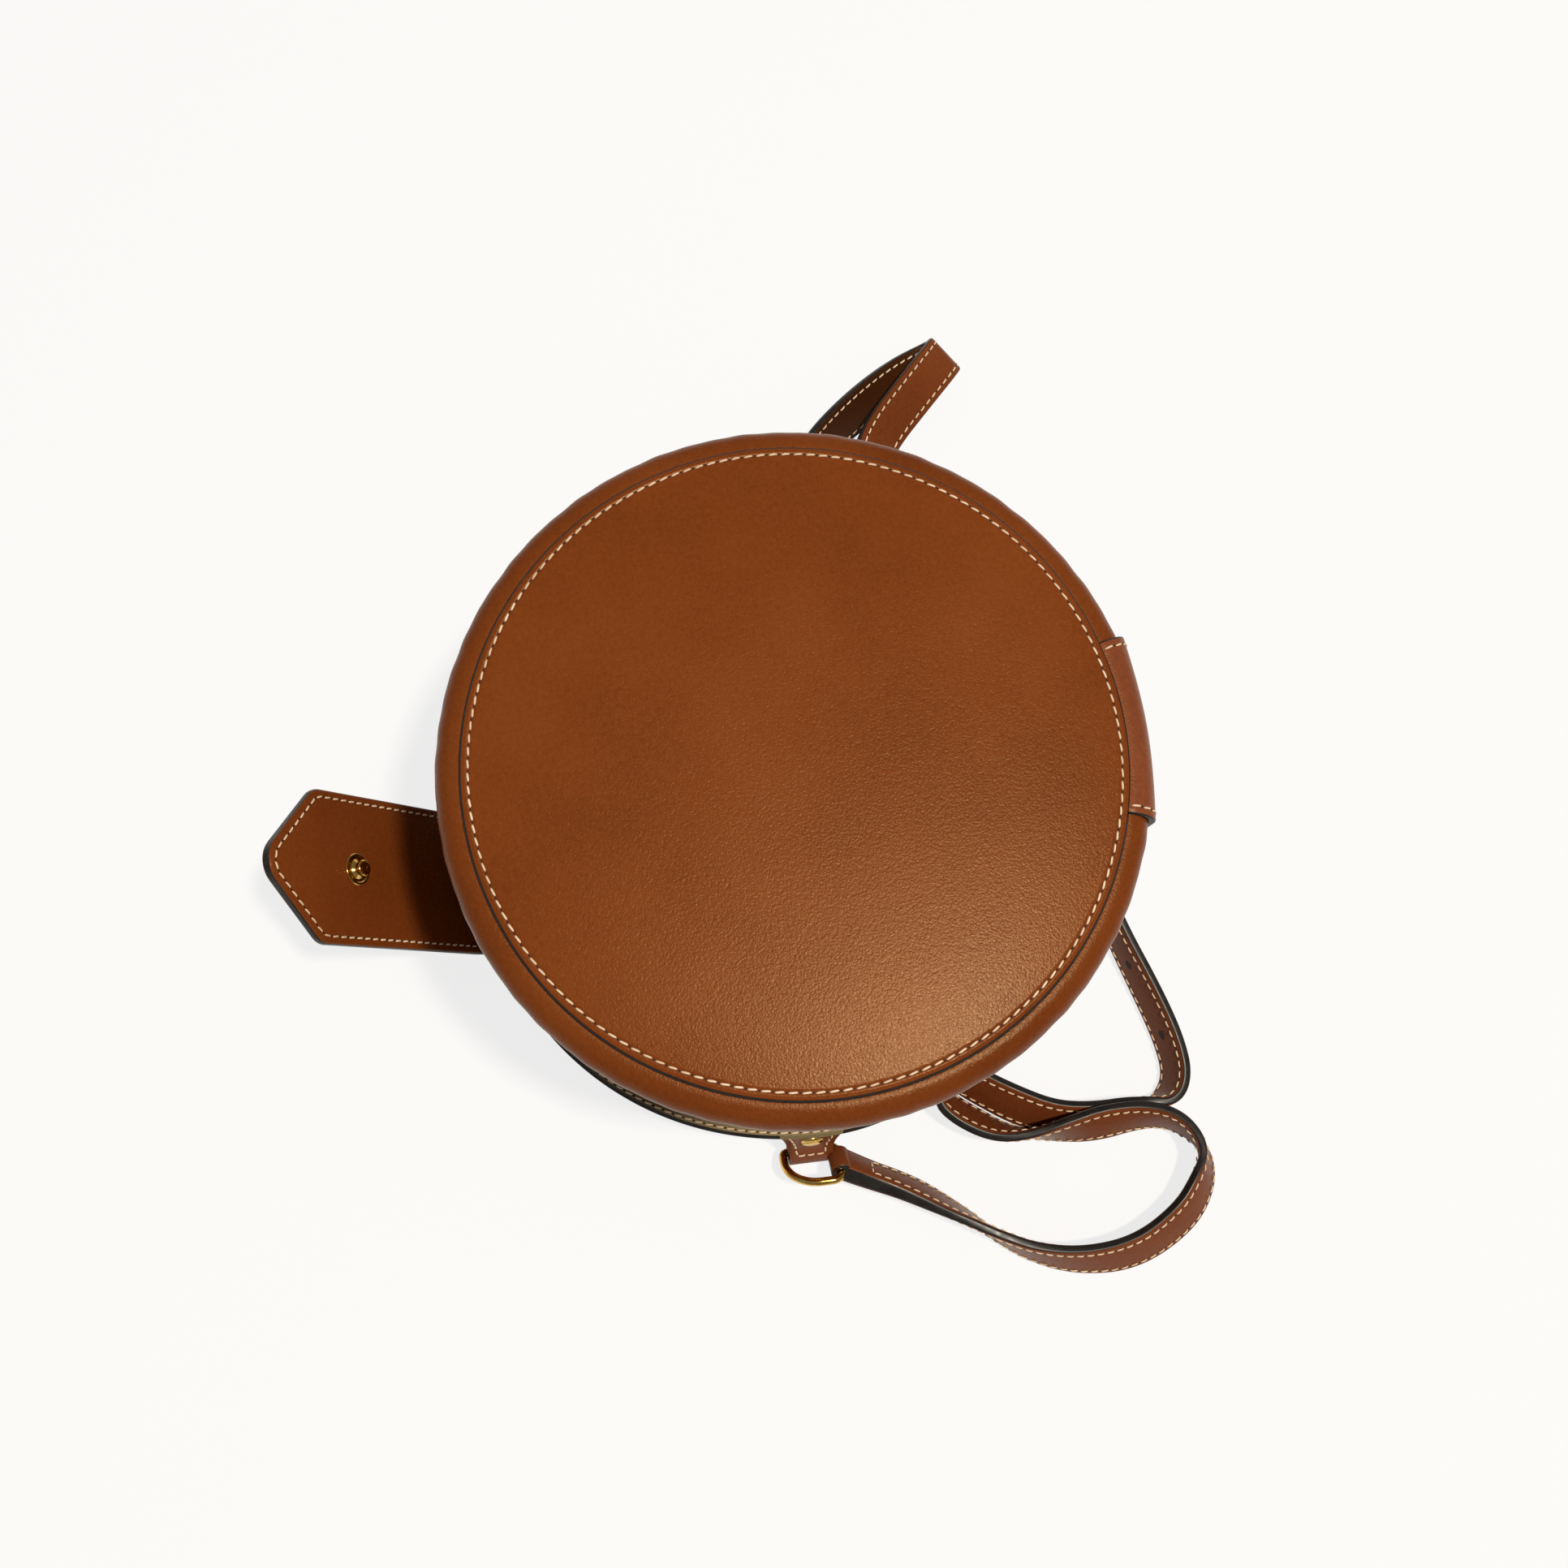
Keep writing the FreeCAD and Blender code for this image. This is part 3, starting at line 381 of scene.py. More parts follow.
# carries a section along rows of origin, across, out and width; its own rows are across, out and paint
def sweep(name, rows, section, paints, closed=False):
    points = []
    for origin, across, out, wide in rows:
        for a, b, kind in section:
            points.append(origin + across * (a * wide) + out * b)
    columns = len(section)
    faces = gridFaces(len(rows), columns, closed, True)
    kinds = [section[j][2] for i in range(len(rows) if closed else len(rows) - 1) for j in range(columns)]
    if not closed:
        faces += endFaces(len(rows), columns)
        kinds += [1, 1]
    return newPiece(name, points, faces, paints, kinds)


def strapSection(width, thick, edge):  # a sewn strip's cross-section: leather faces, painted edges
    half, deep = width / 2, thick / 2
    return softCorners([(-half, -deep, edge, 0), (half, -deep, edge, 1),
                        (half, deep, edge, 0), (-half, deep, edge, 1)])


# hand stitches: short slanting threads with awl holes between them, the holes drawn as flat dark discs of
# painted shade
saddle = {**lengths(length=2.7, width=0.66, height=0.46, pitch=3.5, hole=0.31, holeLift=0.03, feel=0.8),
          "slant": 6.0, "rings": 7, "sides": 6, "round": 0.55, "rise": 0.35, "dip": 0.75, "end": 0.12,
          "holeLong": 1.25, "holeSides": 8}


def stitchForm():
    rings, sides = saddle["rings"], saddle["sides"]
    points = []
    for ring in range(rings):
        along = -1 + 2 * ring / (rings - 1)
        swell = max(saddle["end"], 1 - along ** 4) ** 0.5
        for cosine, sine in circle(sides):
            lift = swell * sine * saddle["round"] + saddle["rise"] - saddle["dip"] * along ** 4
            points.append((along * saddle["length"] / 2, swell * cosine * saddle["width"] / 2,
                           lift * saddle["height"]))
    return np.array(points), gridFaces(rings, sides, False, True) + endFaces(rings, sides)


# a flat disc just above the leather that carries the painted shade of an awl hole
def holeForm():
    ring = [(cosine * saddle["hole"] * saddle["holeLong"], sine * saddle["hole"], saddle["holeLift"])
            for cosine, sine in circle(saddle["holeSides"])]
    return np.array(ring), [tuple(range(saddle["holeSides"]))]


def stitches(name, rows):  # rows: points, the way out of the leather, whether the row closes on itself
    forms = ((0.5, *stitchForm(), 0), (0.0, *holeForm(), 1))  # share of the pitch, points, faces, paint
    slant = radians(saddle["slant"])
    points, faces, kinds = [], [], []
    for line, out, closed in rows:
        line, out = np.array(line), np.array(out)
        if closed:
            line, out = np.vstack([line, line[:1]]), np.vstack([out, out[:1]])
        reach = reachAlong(line)
        count = max(2, round(reach[-1] / saddle["pitch"]))

        def read(values, place):
            return np.array([np.interp(place, reach, values[:, k]) for k in range(3)])

        for index in range(count):
            for spot, shape, shapeFaces, kind in forms:
                place = (index + spot) * reach[-1] / count
                if kind == 1 and index == 0 and not closed:
                    continue
                up = read(out, place)
                along = read(line, place + saddle["feel"]) - read(line, place - saddle["feel"])
                along = unit(along - up * (along @ up) / (up @ up))
                up = unit(up)
                side = np.cross(up, along)
                along, side = (along * cos(slant) + side * sin(slant),
                               side * cos(slant) - along * sin(slant))
                start = len(points)
                spread = shape[:, :1] * along + shape[:, 1:2] * side + shape[:, 2:] * up
                points.extend(read(line, place) + spread)
                faces.extend(tuple(start + i for i in face) for face in shapeFaces)
                kinds.extend([kind] * len(shapeFaces))
    return newPiece(name, points, faces, [thread, awlHole], kinds)


# a stitch row round the bag's axis; out is radial and up
def ringRow(radius, height, out=(0, 0, 1), steps=360, shift=None):
    angles = [2 * pi * step / steps for step in range(steps)]
    reach = [radius + (shift(a, radius, height) if shift else 0) for a in angles]
    line = [(r * cos(a), r * sin(a), height) for r, a in zip(reach, angles)]
    away = [(out[0] * cos(a), out[0] * sin(a), out[2]) for a in angles]
    return line, away, True


# two stitch rows along a strip and one across it at a given row; face is 1 or -1
def edgeRows(rows, end, inset, lift, face=1):
    seams = []
    for edge in (1, -1):
        line = [p + a * edge * (w - inset) + o * face * lift for p, a, o, w in rows]
        seams.append((line, [o * face for p, a, o, w in rows], False))
    place, across, out, wide = end
    shares = (-1, -0.5, 0, 0.5, 1)
    cross = [place + out * face * lift + across * share * (wide - inset) for share in shares]
    seams.append((cross, [out * face] * len(shares), False))
    return seams


def rides(body, *made):
    for one in made:
        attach(one, body)


# the top and bottom panels: domed, with a sunk stitch line and a painted edge
panelLook = {**lengths(dome=1.3, stitch=2.6, sink=0.22, edge=1.5, back=0.4, inside=1.1),
             "power": 6, "rows": 24, "steps": 360,
             "groove": ((0.75, 0), (0.5, 0.45), (0.25, 0.9), (0, 1), (-0.25, 0.9), (-0.5, 0.45), (-0.75, 0))}


def panelProfile(top, way, dome):  # way is 1 for the lid's panel, -1 for the base's
    def height(radius):
        return top - way * dome * (radius / panelRadius) ** panelLook["power"]

    under = top - way * panelThick
    rows = [(0, under, 0), (panelRadius - panelLook["back"], under, 1)]
    rim = height(panelRadius)
    soft = panelLook["edge"]
    for turn in range(7):  # the edge's quarter circle, painted on its lower half
        angle = radians(15 * turn)
        rows.append((panelRadius - soft + soft * cos(angle), rim - way * (soft - soft * sin(angle)),
                     1 if turn < 4 else 0))
    line = panelRadius - panelLook["stitch"]
    for away, share in panelLook["groove"]:
        radius = line + away * mm
        rows.append((radius, height(radius) - way * share * panelLook["sink"], 0))
    for step in range(panelLook["rows"] + 1):  # closer rows towards the seam
        radius = (line - panelLook["inside"]) * (1 - (step / panelLook["rows"]) ** 2)
        rows.append((radius, height(radius), 0))
    return rows


def makePanels():
    steps = panelLook["steps"]
    lidRows = panelProfile(lidTop, 1, panelLook["dome"])
    lidPanel = lathe("lidTopPanel", lidRows, [topLeather, edgeBlack], steps, closed=False)
    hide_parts("lid_panel")
    baseRows = panelProfile(0.0, -1, 0.0)
    basePanel = lathe("baseBottomPanel", baseRows, [sideLeather, edgeBlack], steps, closed=False)
    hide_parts("base_panel")
    line = panelRadius - panelLook["stitch"]
    height = lidTop - panelLook["dome"] * (line / panelRadius) ** panelLook["power"] - panelLook["sink"]
    lidSeam = stitches("lidPanelStitches", [ringRow(line, height)])
    baseSeam = stitches("basePanelStitches", [ringRow(line, panelLook["sink"], out=(0, 0, -1))])
    rides("lid", lidPanel, lidSeam)
    rides("base", basePanel, baseSeam)


# rolled rims: a leather tube over a cord, pressed in under the belt, with soft gathers
rimLook = {**lengths(gather=0.1, press=2.5, lap=0.2, ease=1.2), "sides": 40, "steps": 480}
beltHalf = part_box("back_belt")[1].x + 1.3 * mm


def rimShift(angle, radius, height):
    waves = sin(angle * 37) * sin(angle * 11 + 1) + 0.6 * sin(angle * 71 + 2)
    aside = abs((angle - pi / 2 + pi) % (2 * pi) - pi) * rimRadius
    under = max(0.0, min(1.0, (beltHalf + rimLook["lap"] - aside) / rimLook["ease"]))
    return rimLook["gather"] * waves - under * rimLook["press"]


def makeRims():
    for name, height, body in (("lidRim", lidRimZ, "lid"), ("baseRim", baseRimZ, "base")):
        profile = [(rimCircle + rimTube * cosine, height + rimTube * sine, 0)
                   for cosine, sine in circle(rimLook["sides"])]
        made = lathe(name + "Roll", profile, [sideLeather], rimLook["steps"], shift=rimShift)
        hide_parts(body + "_rim")
        rides(body, made)


# walls and mouth flange, stitched along their seams; the flange swells where the ears grow out of it
wallLook = lengths(soft=0.6, mouthSeam=3, rimSeam=2.4)
flangeLook = {**lengths(swell=1.1, clear=0.5, seam=2.0, earHalf=10.5, lap=0.2, lipDrop=0.7, lipIn=1.1,
                        lipSoft=0.3),
              "middle": 10.0, "spread": 14.0, "steps": 360}


def flangeShift(angle, radius, height):
    if radius < wallRadius + flangeLook["clear"]:
        return 0.0
    fromEar = degrees(atan2(sin(angle), abs(cos(angle)))) - flangeLook["middle"]
    return flangeLook["swell"] * exp(-(fromEar / flangeLook["spread"]) ** 2)


def wallProfile(low, high, lowPaint):
    inner, soft = wallRadius - wallThick, wallLook["soft"]
    return softCorners([(inner, low, soft, lowPaint), (wallRadius, low, soft, 0),
                        (wallRadius, high, soft, 0), (inner, high, soft, 0)])


def makeWalls():
    lidLow, lidHigh = (corner.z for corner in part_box("lid_wall"))
    baseLow, baseHigh = (corner.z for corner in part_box("base_wall"))
    lidWall = lathe("lidWallSkin", wallProfile(lidLow, lidHigh, 1), [sideLeather, edgeBlack])
    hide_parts("lid_wall")
    baseWall = lathe("baseWallSkin", wallProfile(baseLow, baseHigh, 0), [sideLeather])
    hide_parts("base_wall")
    inner = wallRadius - wallThick + flangeLook["lap"]
    soft, lip = wallLook["soft"], flangeLook["lipSoft"]
    profile = softCorners([(inner, flangeLow, soft, 0), (flangeRadius, flangeLow, soft, 1),
                           (flangeRadius, flangeTop - flangeLook["lipDrop"], lip, 1),
                           (flangeRadius - flangeLook["lipIn"], flangeTop, lip, 0),
                           (inner, flangeTop, soft, 0)])
    # the flange's khaki grey leather carries the painted sheen
    flange = lathe("mouthFlange", profile, [flangePaintedSheen, edgeBlack], flangeLook["steps"], shift=flangeShift)
    for face in flange.data.polygons:  # no painted edge where an ear grows out
        if abs(face.center.y) < flangeLook["earHalf"]:
            face.material_index = 0
    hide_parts("base_flange")
    line = flangeRadius - flangeLook["seam"]
    radial = (1, 0, 0)
    flangeSeam = stitches("flangeStitches", [ringRow(line, flangeTop, shift=flangeShift),
                                             ringRow(line, flangeLow, out=(0, 0, -1), shift=flangeShift)])
    lidSeam = stitches("lidWallStitches", [ringRow(wallRadius, lidLow + wallLook["mouthSeam"], out=radial),
                                           ringRow(wallRadius, lidHigh - wallLook["rimSeam"], out=radial)])
    baseSeam = stitches("baseWallStitches", [ringRow(wallRadius, baseLow + wallLook["rimSeam"], out=radial)])
    rides("lid", lidWall, lidSeam)
    rides("base", baseWall, flange, flangeSeam, baseSeam)


# the belt that hinges the lid: tucked in at the panel's edge, over the rim, down the back, under the base rim
beltLook = {**lengths(thick=2.0, lift=1.4, stitch=2.5, overRim=0.6, edge=0.55, bend=3.2), "edgeTurn": 0.3,
            "curl": 2.5, "flatLift": 0.3, "columns": 41, "rows": 40, "settle": 1.3, "seamEnd": 2}
hingeY, hingeZ = joints["lid_hinge"]["pos_m"][1:]


def beltPath():  # radius and height of the belt's outer face, from the lid's panel to the base's
    over = rimTube + beltLook["overRim"]
    turns = [radians(angle) for angle in range(-18, 91, 6)]
    rows = [(rimCircle + over * sin(a), lidRimZ + over * cos(a)) for a in turns]
    bulge = hingeY + beltLook["thick"] / 2
    for step in range(1, beltLook["rows"]):
        height = lidRimZ + (baseRimZ - lidRimZ) * step / beltLook["rows"]
        span = lidRimZ - rimTube - hingeZ if height > hingeZ else hingeZ - baseRimZ
        nearHinge = max(0.0, 1 - abs(height - hingeZ) / span)
        rows.append((rimCircle + over + (bulge - rimCircle - over) * nearHinge ** beltLook["settle"], height))
    rows += [(rimCircle + over * cos(a), baseRimZ - over * sin(a)) for a in turns if a >= 0]
    return rows


def makeBelt():
    path = np.array(beltPath())
    ahead = unitRows(np.gradient(path, axis=0))
    out = np.stack([-ahead[:, 1], ahead[:, 0]], axis=1)
    columns, thick = beltLook["columns"], beltLook["thick"]
    edge = beltLook["edge"]
    turned = beltLook["edgeTurn"] * edge
    across = np.linspace(-1, 1, columns) * (1 - edge / beltHalf)

    def spot(row, share, depth):
        radius, height = path[row] + out[row] * depth
        lift = beltLook["lift"] * abs(share) ** beltLook["curl"]
        radius += lift * abs(out[row][0])
        height += beltLook["flatLift"] * lift * out[row][1]
        angle = share * beltHalf / rimRadius
        return at(radius * sin(angle), radius * cos(angle), height)

    soft = 1 - turned / beltHalf
    side = [(soft, -turned), (1, -edge), (1, edge - thick), (soft, turned - thick)]
    loop = [(share, 0.0, 0) for share in across]
    loop += [(share, depth, 1) for share, depth in side]
    loop += [(share, -thick, 0) for share in across[::-1]]
    loop += [(-share, depth, 1) for share, depth in side[::-1]]
    for last in (columns - 1, 2 * columns + 3):  # the paint starts at the last column of each face
        loop[last] = (*loop[last][:2], 1)
    points = [spot(row, share, depth) for row in range(len(path)) for share, depth, kind in loop]
    faces = gridFaces(len(path), len(loop), False, True) + endFaces(len(path), len(loop))
    kinds = [loop[j][2] for i in range(len(path) - 1) for j in range(len(loop))]
    # the belt's leather carries the painted reflection in its lighter, pinker tones
    belt = newPiece("hingeBelt", points, faces, [beltPaintedSheen, edgeBlack], kinds + [1, 1])
    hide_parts("back_belt", "hinge_leaf")
    rows = []
    sewn = range(beltLook["seamEnd"], len(path) - beltLook["seamEnd"])
    for share in (1 - beltLook["stitch"] / beltHalf, beltLook["stitch"] / beltHalf - 1):
        angle = share * beltHalf / rimRadius
        line = [spot(row, share, 0.0) for row in sewn]
        away = [(out[row][0] * sin(angle), out[row][0] * cos(angle), out[row][1]) for row in sewn]
        rows.append((line, away, False))
    seam = stitches("hingeBeltStitches", rows)
    for made in (belt, seam):
        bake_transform(made)


# the closure tab: sewn in under the base rim, bending up to a pointed end
tabLook = {**lengths(width=48.5, layer=1.4, shoulder=78.8, tip=102.2, shoulderRound=6.0, tipRound=9.0,
                     stitch=2.5, bend=9.0, edge=0.9, tuck=0.6, shoulderStart=6),
           "slope": 58.8, "cornerSteps": 14, "tipGaps": (1.6, 1.2, 0.8, 0.5, 0.25, 0.1, 0.03)}
tabPivot = Vector(joints["tab_hinge"]["pos_m"])
tabSlope = radians(tabLook["slope"])
tabRise = at(-cos(tabSlope), sin(tabSlope))


def tabOutline(inset):  # the tab's outline from its pivot: along and across, with rounded corners
    half = tabLook["width"] / 2
    slant = unit(at(tabLook["tip"] - tabLook["shoulder"], -half))
    tip = tabLook["tip"] + inset / slant[1]
    side = half - inset
    shoulder = tip + side * slant[0] / slant[1]
    soft = tabLook["shoulderRound"]
    corners = [(0, -side, 0, 0), (shoulder, -side, soft, 0), (tip, 0, tabLook["tipRound"] - inset, 0),
               (shoulder, side, soft, 0), (0, side, 0, 0)]
    return np.array([(x, y) for x, y, kind in softCorners(corners, tabLook["cornerSteps"])])


# the middle of the tab's thickness and its way out, towards the bag, at a distance from the pivot
def tabPlace(along):
    bend = tabLook["bend"]
    if along >= bend / 2:
        turn = tabSlope
        spot = tabRise * along
    else:
        turn = tabSlope * max(0.0, min(1.0, (along + bend / 2) / bend))
        radius = bend / tabSlope
        spot = tabRise * bend / 2
        spot = spot + radius * at(sin(tabSlope) - sin(turn), cos(tabSlope) - cos(turn))
        if along < -bend / 2:
            spot = spot + at(-bend / 2 - along, 0)
    return at(0, tabPivot.y + spot[0], tabPivot.z + spot[1]), at(0, sin(turn), cos(turn))


def makeTab():
    outline = tabOutline(0.0)
    upper = outline[outline[:, 1] >= -1e-9]
    upper = upper[np.argsort(upper[:, 0])]
    widest = tabLook["width"] / 2
    tip = outline[:, 0].max()
    rootStart = -(abs(tabPivot.y) - panelRadius - tabLook["tuck"])
    bend = tabLook["bend"] / 2
    knots = [rootStart, -bend, bend, tabLook["shoulder"] - tabLook["shoulderStart"],
             tip - tabLook["tipGaps"][0] * mm]
    stations = [rootStart]
    for first, last, count in zip(knots, knots[1:], (6, 12, 24, 26)):
        stations += list(np.linspace(first, last, count)[1:])
    stations += [tip - gap * mm for gap in tabLook["tipGaps"][1:]]
    flat = strapSection(tabLook["width"], 2 * tabLook["layer"], tabLook["edge"])
    section = [(a / widest, b, kind) for a, b, kind in flat]
    rows = []
    for along in stations:
        place, out = tabPlace(along)
        wide = float(np.interp(along, upper[:, 0], upper[:, 1])) if along > 0 else widest
        rows.append((place, eastward, out, wide))
    tab = sweep("closureTab", rows, section, [sideLeather, edgeBlack])
    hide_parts("closure_tab", "tab_facing", "tab_root")
    seamRows = []
    seam = tabOutline(tabLook["stitch"])
    dense = [seam[0]]
    for here, after in zip(seam, seam[1:]):
        dense += [here + (after - here) * share for share in np.linspace(0.1, 1, 10)]
    for face in (1, -1):
        line, away = [], []
        for along, across in dense:
            place, out = tabPlace(max(along, bend))
            line.append(place + eastward * across + out * face * tabLook["layer"])
            away.append(out * face)
        seamRows.append((line, away, False))
    threads = stitches("closureTabStitches", seamRows)
    end = tabPivot + Vector((0, *tabRise)) * bend
    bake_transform(tab)
    rides("tab", threads)


# press stud and cap on the tab, socket on the lid, rivets on the ears: small turned brass
def turned(name, profile, base, axis, body, nodes):  # profile rows: radius and height, in millimetres
    rows = [(radius * mm, height * mm, 0) for radius, height in profile]
    made = lathe(name, rows, [brass], turnedSteps, closed=False)
    made.data.transform(stood(base, axis))
    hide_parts(*nodes)
    rides(body, made)


turnedSteps = 64
studForm = [(0, -0.2), (4.7, -0.2), (5.2, 0.1), (5.25, 0.45), (5.0, 0.78), (4.5, 0.9), (4.2, 0.72),
            (3.9, 0.5), (3.5, 0.45), (3.1, 0.6), (2.9, 1.0), (2.3, 1.3), (2.15, 1.7), (2.3, 2.2), (2.62, 2.7),
            (2.7, 3.1), (2.5, 3.5), (1.9, 3.75), (1.0, 3.8), (0.6, 3.65), (0, 3.6)]
capForm = [(0, -0.2), (5.6, -0.2), (6.1, 0.2), (6.2, 0.6), (5.9, 1.05), (5.2, 1.4), (4.0, 1.65),
           (2.4, 1.78), (0, 1.8)]
socketForm = [(3.3, -3.0), (3.3, 0.8), (3.5, 1.2), (4.0, 1.45), (4.6, 1.3), (4.9, 0.95), (5.4, 0.95),
              (5.9, 0.8), (6.2, 0.4), (6.1, 0), (4.1, -0.1), (4.1, -3.0)]
rivetForm = [(0, -0.6), (3.4, -0.5), (3.75, -0.1), (3.8, 0.3), (3.6, 0.8), (3.0, 1.2), (2.0, 1.45),
             (1.0, 1.55), (0, 1.6)]
socketLook = {**lengths(bore=3.7, proud=0.1), "boreDepth": 4 * wallThick, "sides": 48}


def boreHole(made, place, axis, radius, depth):  # cuts a round hole through a piece
    shell = bmesh.new()
    bmesh.ops.create_cone(shell, cap_ends=True, segments=socketLook["sides"], radius1=radius, radius2=radius,
                          depth=depth)
    mesh = bpy.data.meshes.new("holeCutter")
    shell.to_mesh(mesh)
    shell.free()
    cutter = placed("holeCutter", mesh)
    cutter.matrix_world = stood(place, axis)
    hole = made.modifiers.new("hole", "BOOLEAN")
    hole.object = cutter
    cut = asMesh(made)
    made.modifiers.clear()
    made.data = cut
    bpy.data.objects.remove(cutter)


def makeSnaps():
    out = Vector((0, sin(tabSlope), cos(tabSlope)))
    along = Vector((0, *tabRise))
    centre = tabPivot + along * (middle("snap_cap") - tabPivot).dot(along)
    turned("pressStud", studForm, centre + out * tabLook["layer"], out, "tab", ["snap_stud"])
    turned("studCap", capForm, centre - out * tabLook["layer"], -out, "tab", ["snap_cap"])
    height = middle("snap_socket").z
    front = (0, -1, 0)
    lidWall = bpy.data.objects["lidWallSkin"]
    boreHole(lidWall, (0, -wallRadius, height), front, socketLook["bore"], socketLook["boreDepth"])
    seat = (0, -wallRadius - socketLook["proud"], height)
    turned("studSocket", socketForm, seat, front, "lid", ["snap_socket"])


# wire rings at the sides, rising outwards from the leather ears folded round their inner bars
ringLook = {**lengths(wire=1.4, half=9.2, depth=16.0, corner=2.0, outerCorner=3.5, freeCorner=11.0),
            "slope": 49.0, "sides": 20}
earLook = {**lengths(root=21.5, width=14.8, layer=1.4, clear=0.4, fold=1.5, stitch=2.8, bevel=0.35,
                     rivetDrop=6.4), "flare": 2.2, "rows": 18, "crossRow": 0.8}


# points round a rectangle and the way out at each; the radii start at its +a +b corner
def roundedLoop(halfA, halfB, radii):
    points, outs = [], []
    signs = ((1, 1), (-1, 1), (-1, -1), (1, -1))
    for turn, ((signA, signB), radius) in enumerate(zip(signs, radii)):
        for step in range(13):
            angle = radians(turn * 90 + step * 7.5)
            outs.append(at(cos(angle), sin(angle)))
            points.append(at(signA * (halfA - radius), signB * (halfB - radius)) + radius * outs[-1])
    return points, outs


def wireLoop(name, centre, along, up, loop, wire):  # a wire frame in the plane of along and up
    side = np.cross(along, up)
    sides = ringLook["sides"]
    points = []
    for (a, b), (outA, outB) in zip(*loop):
        for cosine, sine in circle(sides):
            reach = wire * cosine
            points.append(centre + along * (a + outA * reach) + up * (b + outB * reach) + side * wire * sine)
    return newPiece(name, points, gridFaces(len(loop[0]), sides, True, True), [brass])


def ringRise(side):
    slope = radians(ringLook["slope"])
    return at(side * cos(slope), 0, sin(slope))


# one layer of leather: down from under the flange, round the ring's bar and up again behind itself
def earRows(root, bar, down, out):
    thin, loop = earLook["layer"] / 2, ringLook["wire"] + earLook["fold"] + earLook["layer"] / 2
    leaf = []
    for step in range(earLook["rows"] + 1):
        share = step / earLook["rows"]
        swell = max(0.0, 2 * share - 1)
        gap = thin + (loop - thin) * swell * swell * (3 - 2 * swell)
        wide = earLook["width"] + (earLook["root"] - earLook["width"]) * (1 - share) ** earLook["flare"]
        leaf.append((root + (bar - root) * share, gap, wide))
    rows = [(place + out * gap, wide) for place, gap, wide in leaf]
    for step in range(1, 12):
        angle = radians(15 * step)
        rows.append((bar + (out * cos(angle) + down * sin(angle)) * loop, earLook["width"]))
    return rows + [(place - out * gap, wide) for place, gap, wide in leaf[::-1]]


def makeSides():
    deep = earLook["layer"] / 2
    section = [(-1, -deep, 0), (0, -deep, 0), (1, -deep, 1), (1, deep, 0), (0, deep, 0), (-1, deep, 1)]
    rootX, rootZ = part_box("right_ear")[0].x + earLook["layer"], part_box("right_ear")[1].z
    radii = [ringLook[corner] for corner in ("outerCorner", "corner", "corner", "freeCorner")]
    loop = roundedLoop(ringLook["depth"] / 2, ringLook["half"], radii)
    for side, word in ((1, "right"), (-1, "left")):
        bar = np.array(joints[word + "_ring_swing"]["pos_m"])
        rise = ringRise(side)
        centre = bar + rise * ringLook["depth"] / 2
        ring = wireLoop(word + "WireRing", centre, rise, northward, loop, ringLook["wire"])
        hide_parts(word + "_ring")
        rides(word + "_ring", ring)
        root = at(side * rootX, bar[1], rootZ)
        down = unit(bar - root)
        out = side * at(-down[2], 0, down[0])
        rows = earRows(root, bar, down, out)
        ahead = unitRows(np.gradient(np.array([place for place, wide in rows]), axis=0))
        swept = [(place, northward, side * np.cross(forward, northward), wide / 2)
                 for (place, wide), forward in zip(rows, ahead)]
        ear = sweep(word + "Ear", swept, section, [strapLeather, edgeBlack])
        ear.modifiers.new("softEdges", "BEVEL").width = earLook["bevel"]
        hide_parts(word + "_ear")
        last = round(earLook["crossRow"] * earLook["rows"])
        seamRows = edgeRows(swept[:last + 1], swept[last], earLook["stitch"], deep)
        seam = stitches(word + "EarStitches", seamRows)
        rides("base", ear, seam)
        place = root + down * earLook["rivetDrop"] + out * earLook["layer"]
        turned(word + "EarRivet", rivetForm, place, out, "base", [word + "_rivet"])


# the shoulder strap: two layers sewn along both edges, lying on its edge on the table
strapLook = {**lengths(width=16.5, thick=3.2, endThick=6.4, edge=1.0, stitch=2.3, eyeWidth=10.0, eyeInner=0.3,
                       eyeOuter=0.5, taper=42, crossRow=10.5, hole=1.7, holeFirst=79, holePitch=26),
             "seamEnd": 3, "holes": 3, "holeSides": 20, "holeRings": ((1.0, 0.02 * mm), (0.6, 0.03 * mm)),
             "resolution": 10, "steps": 40}
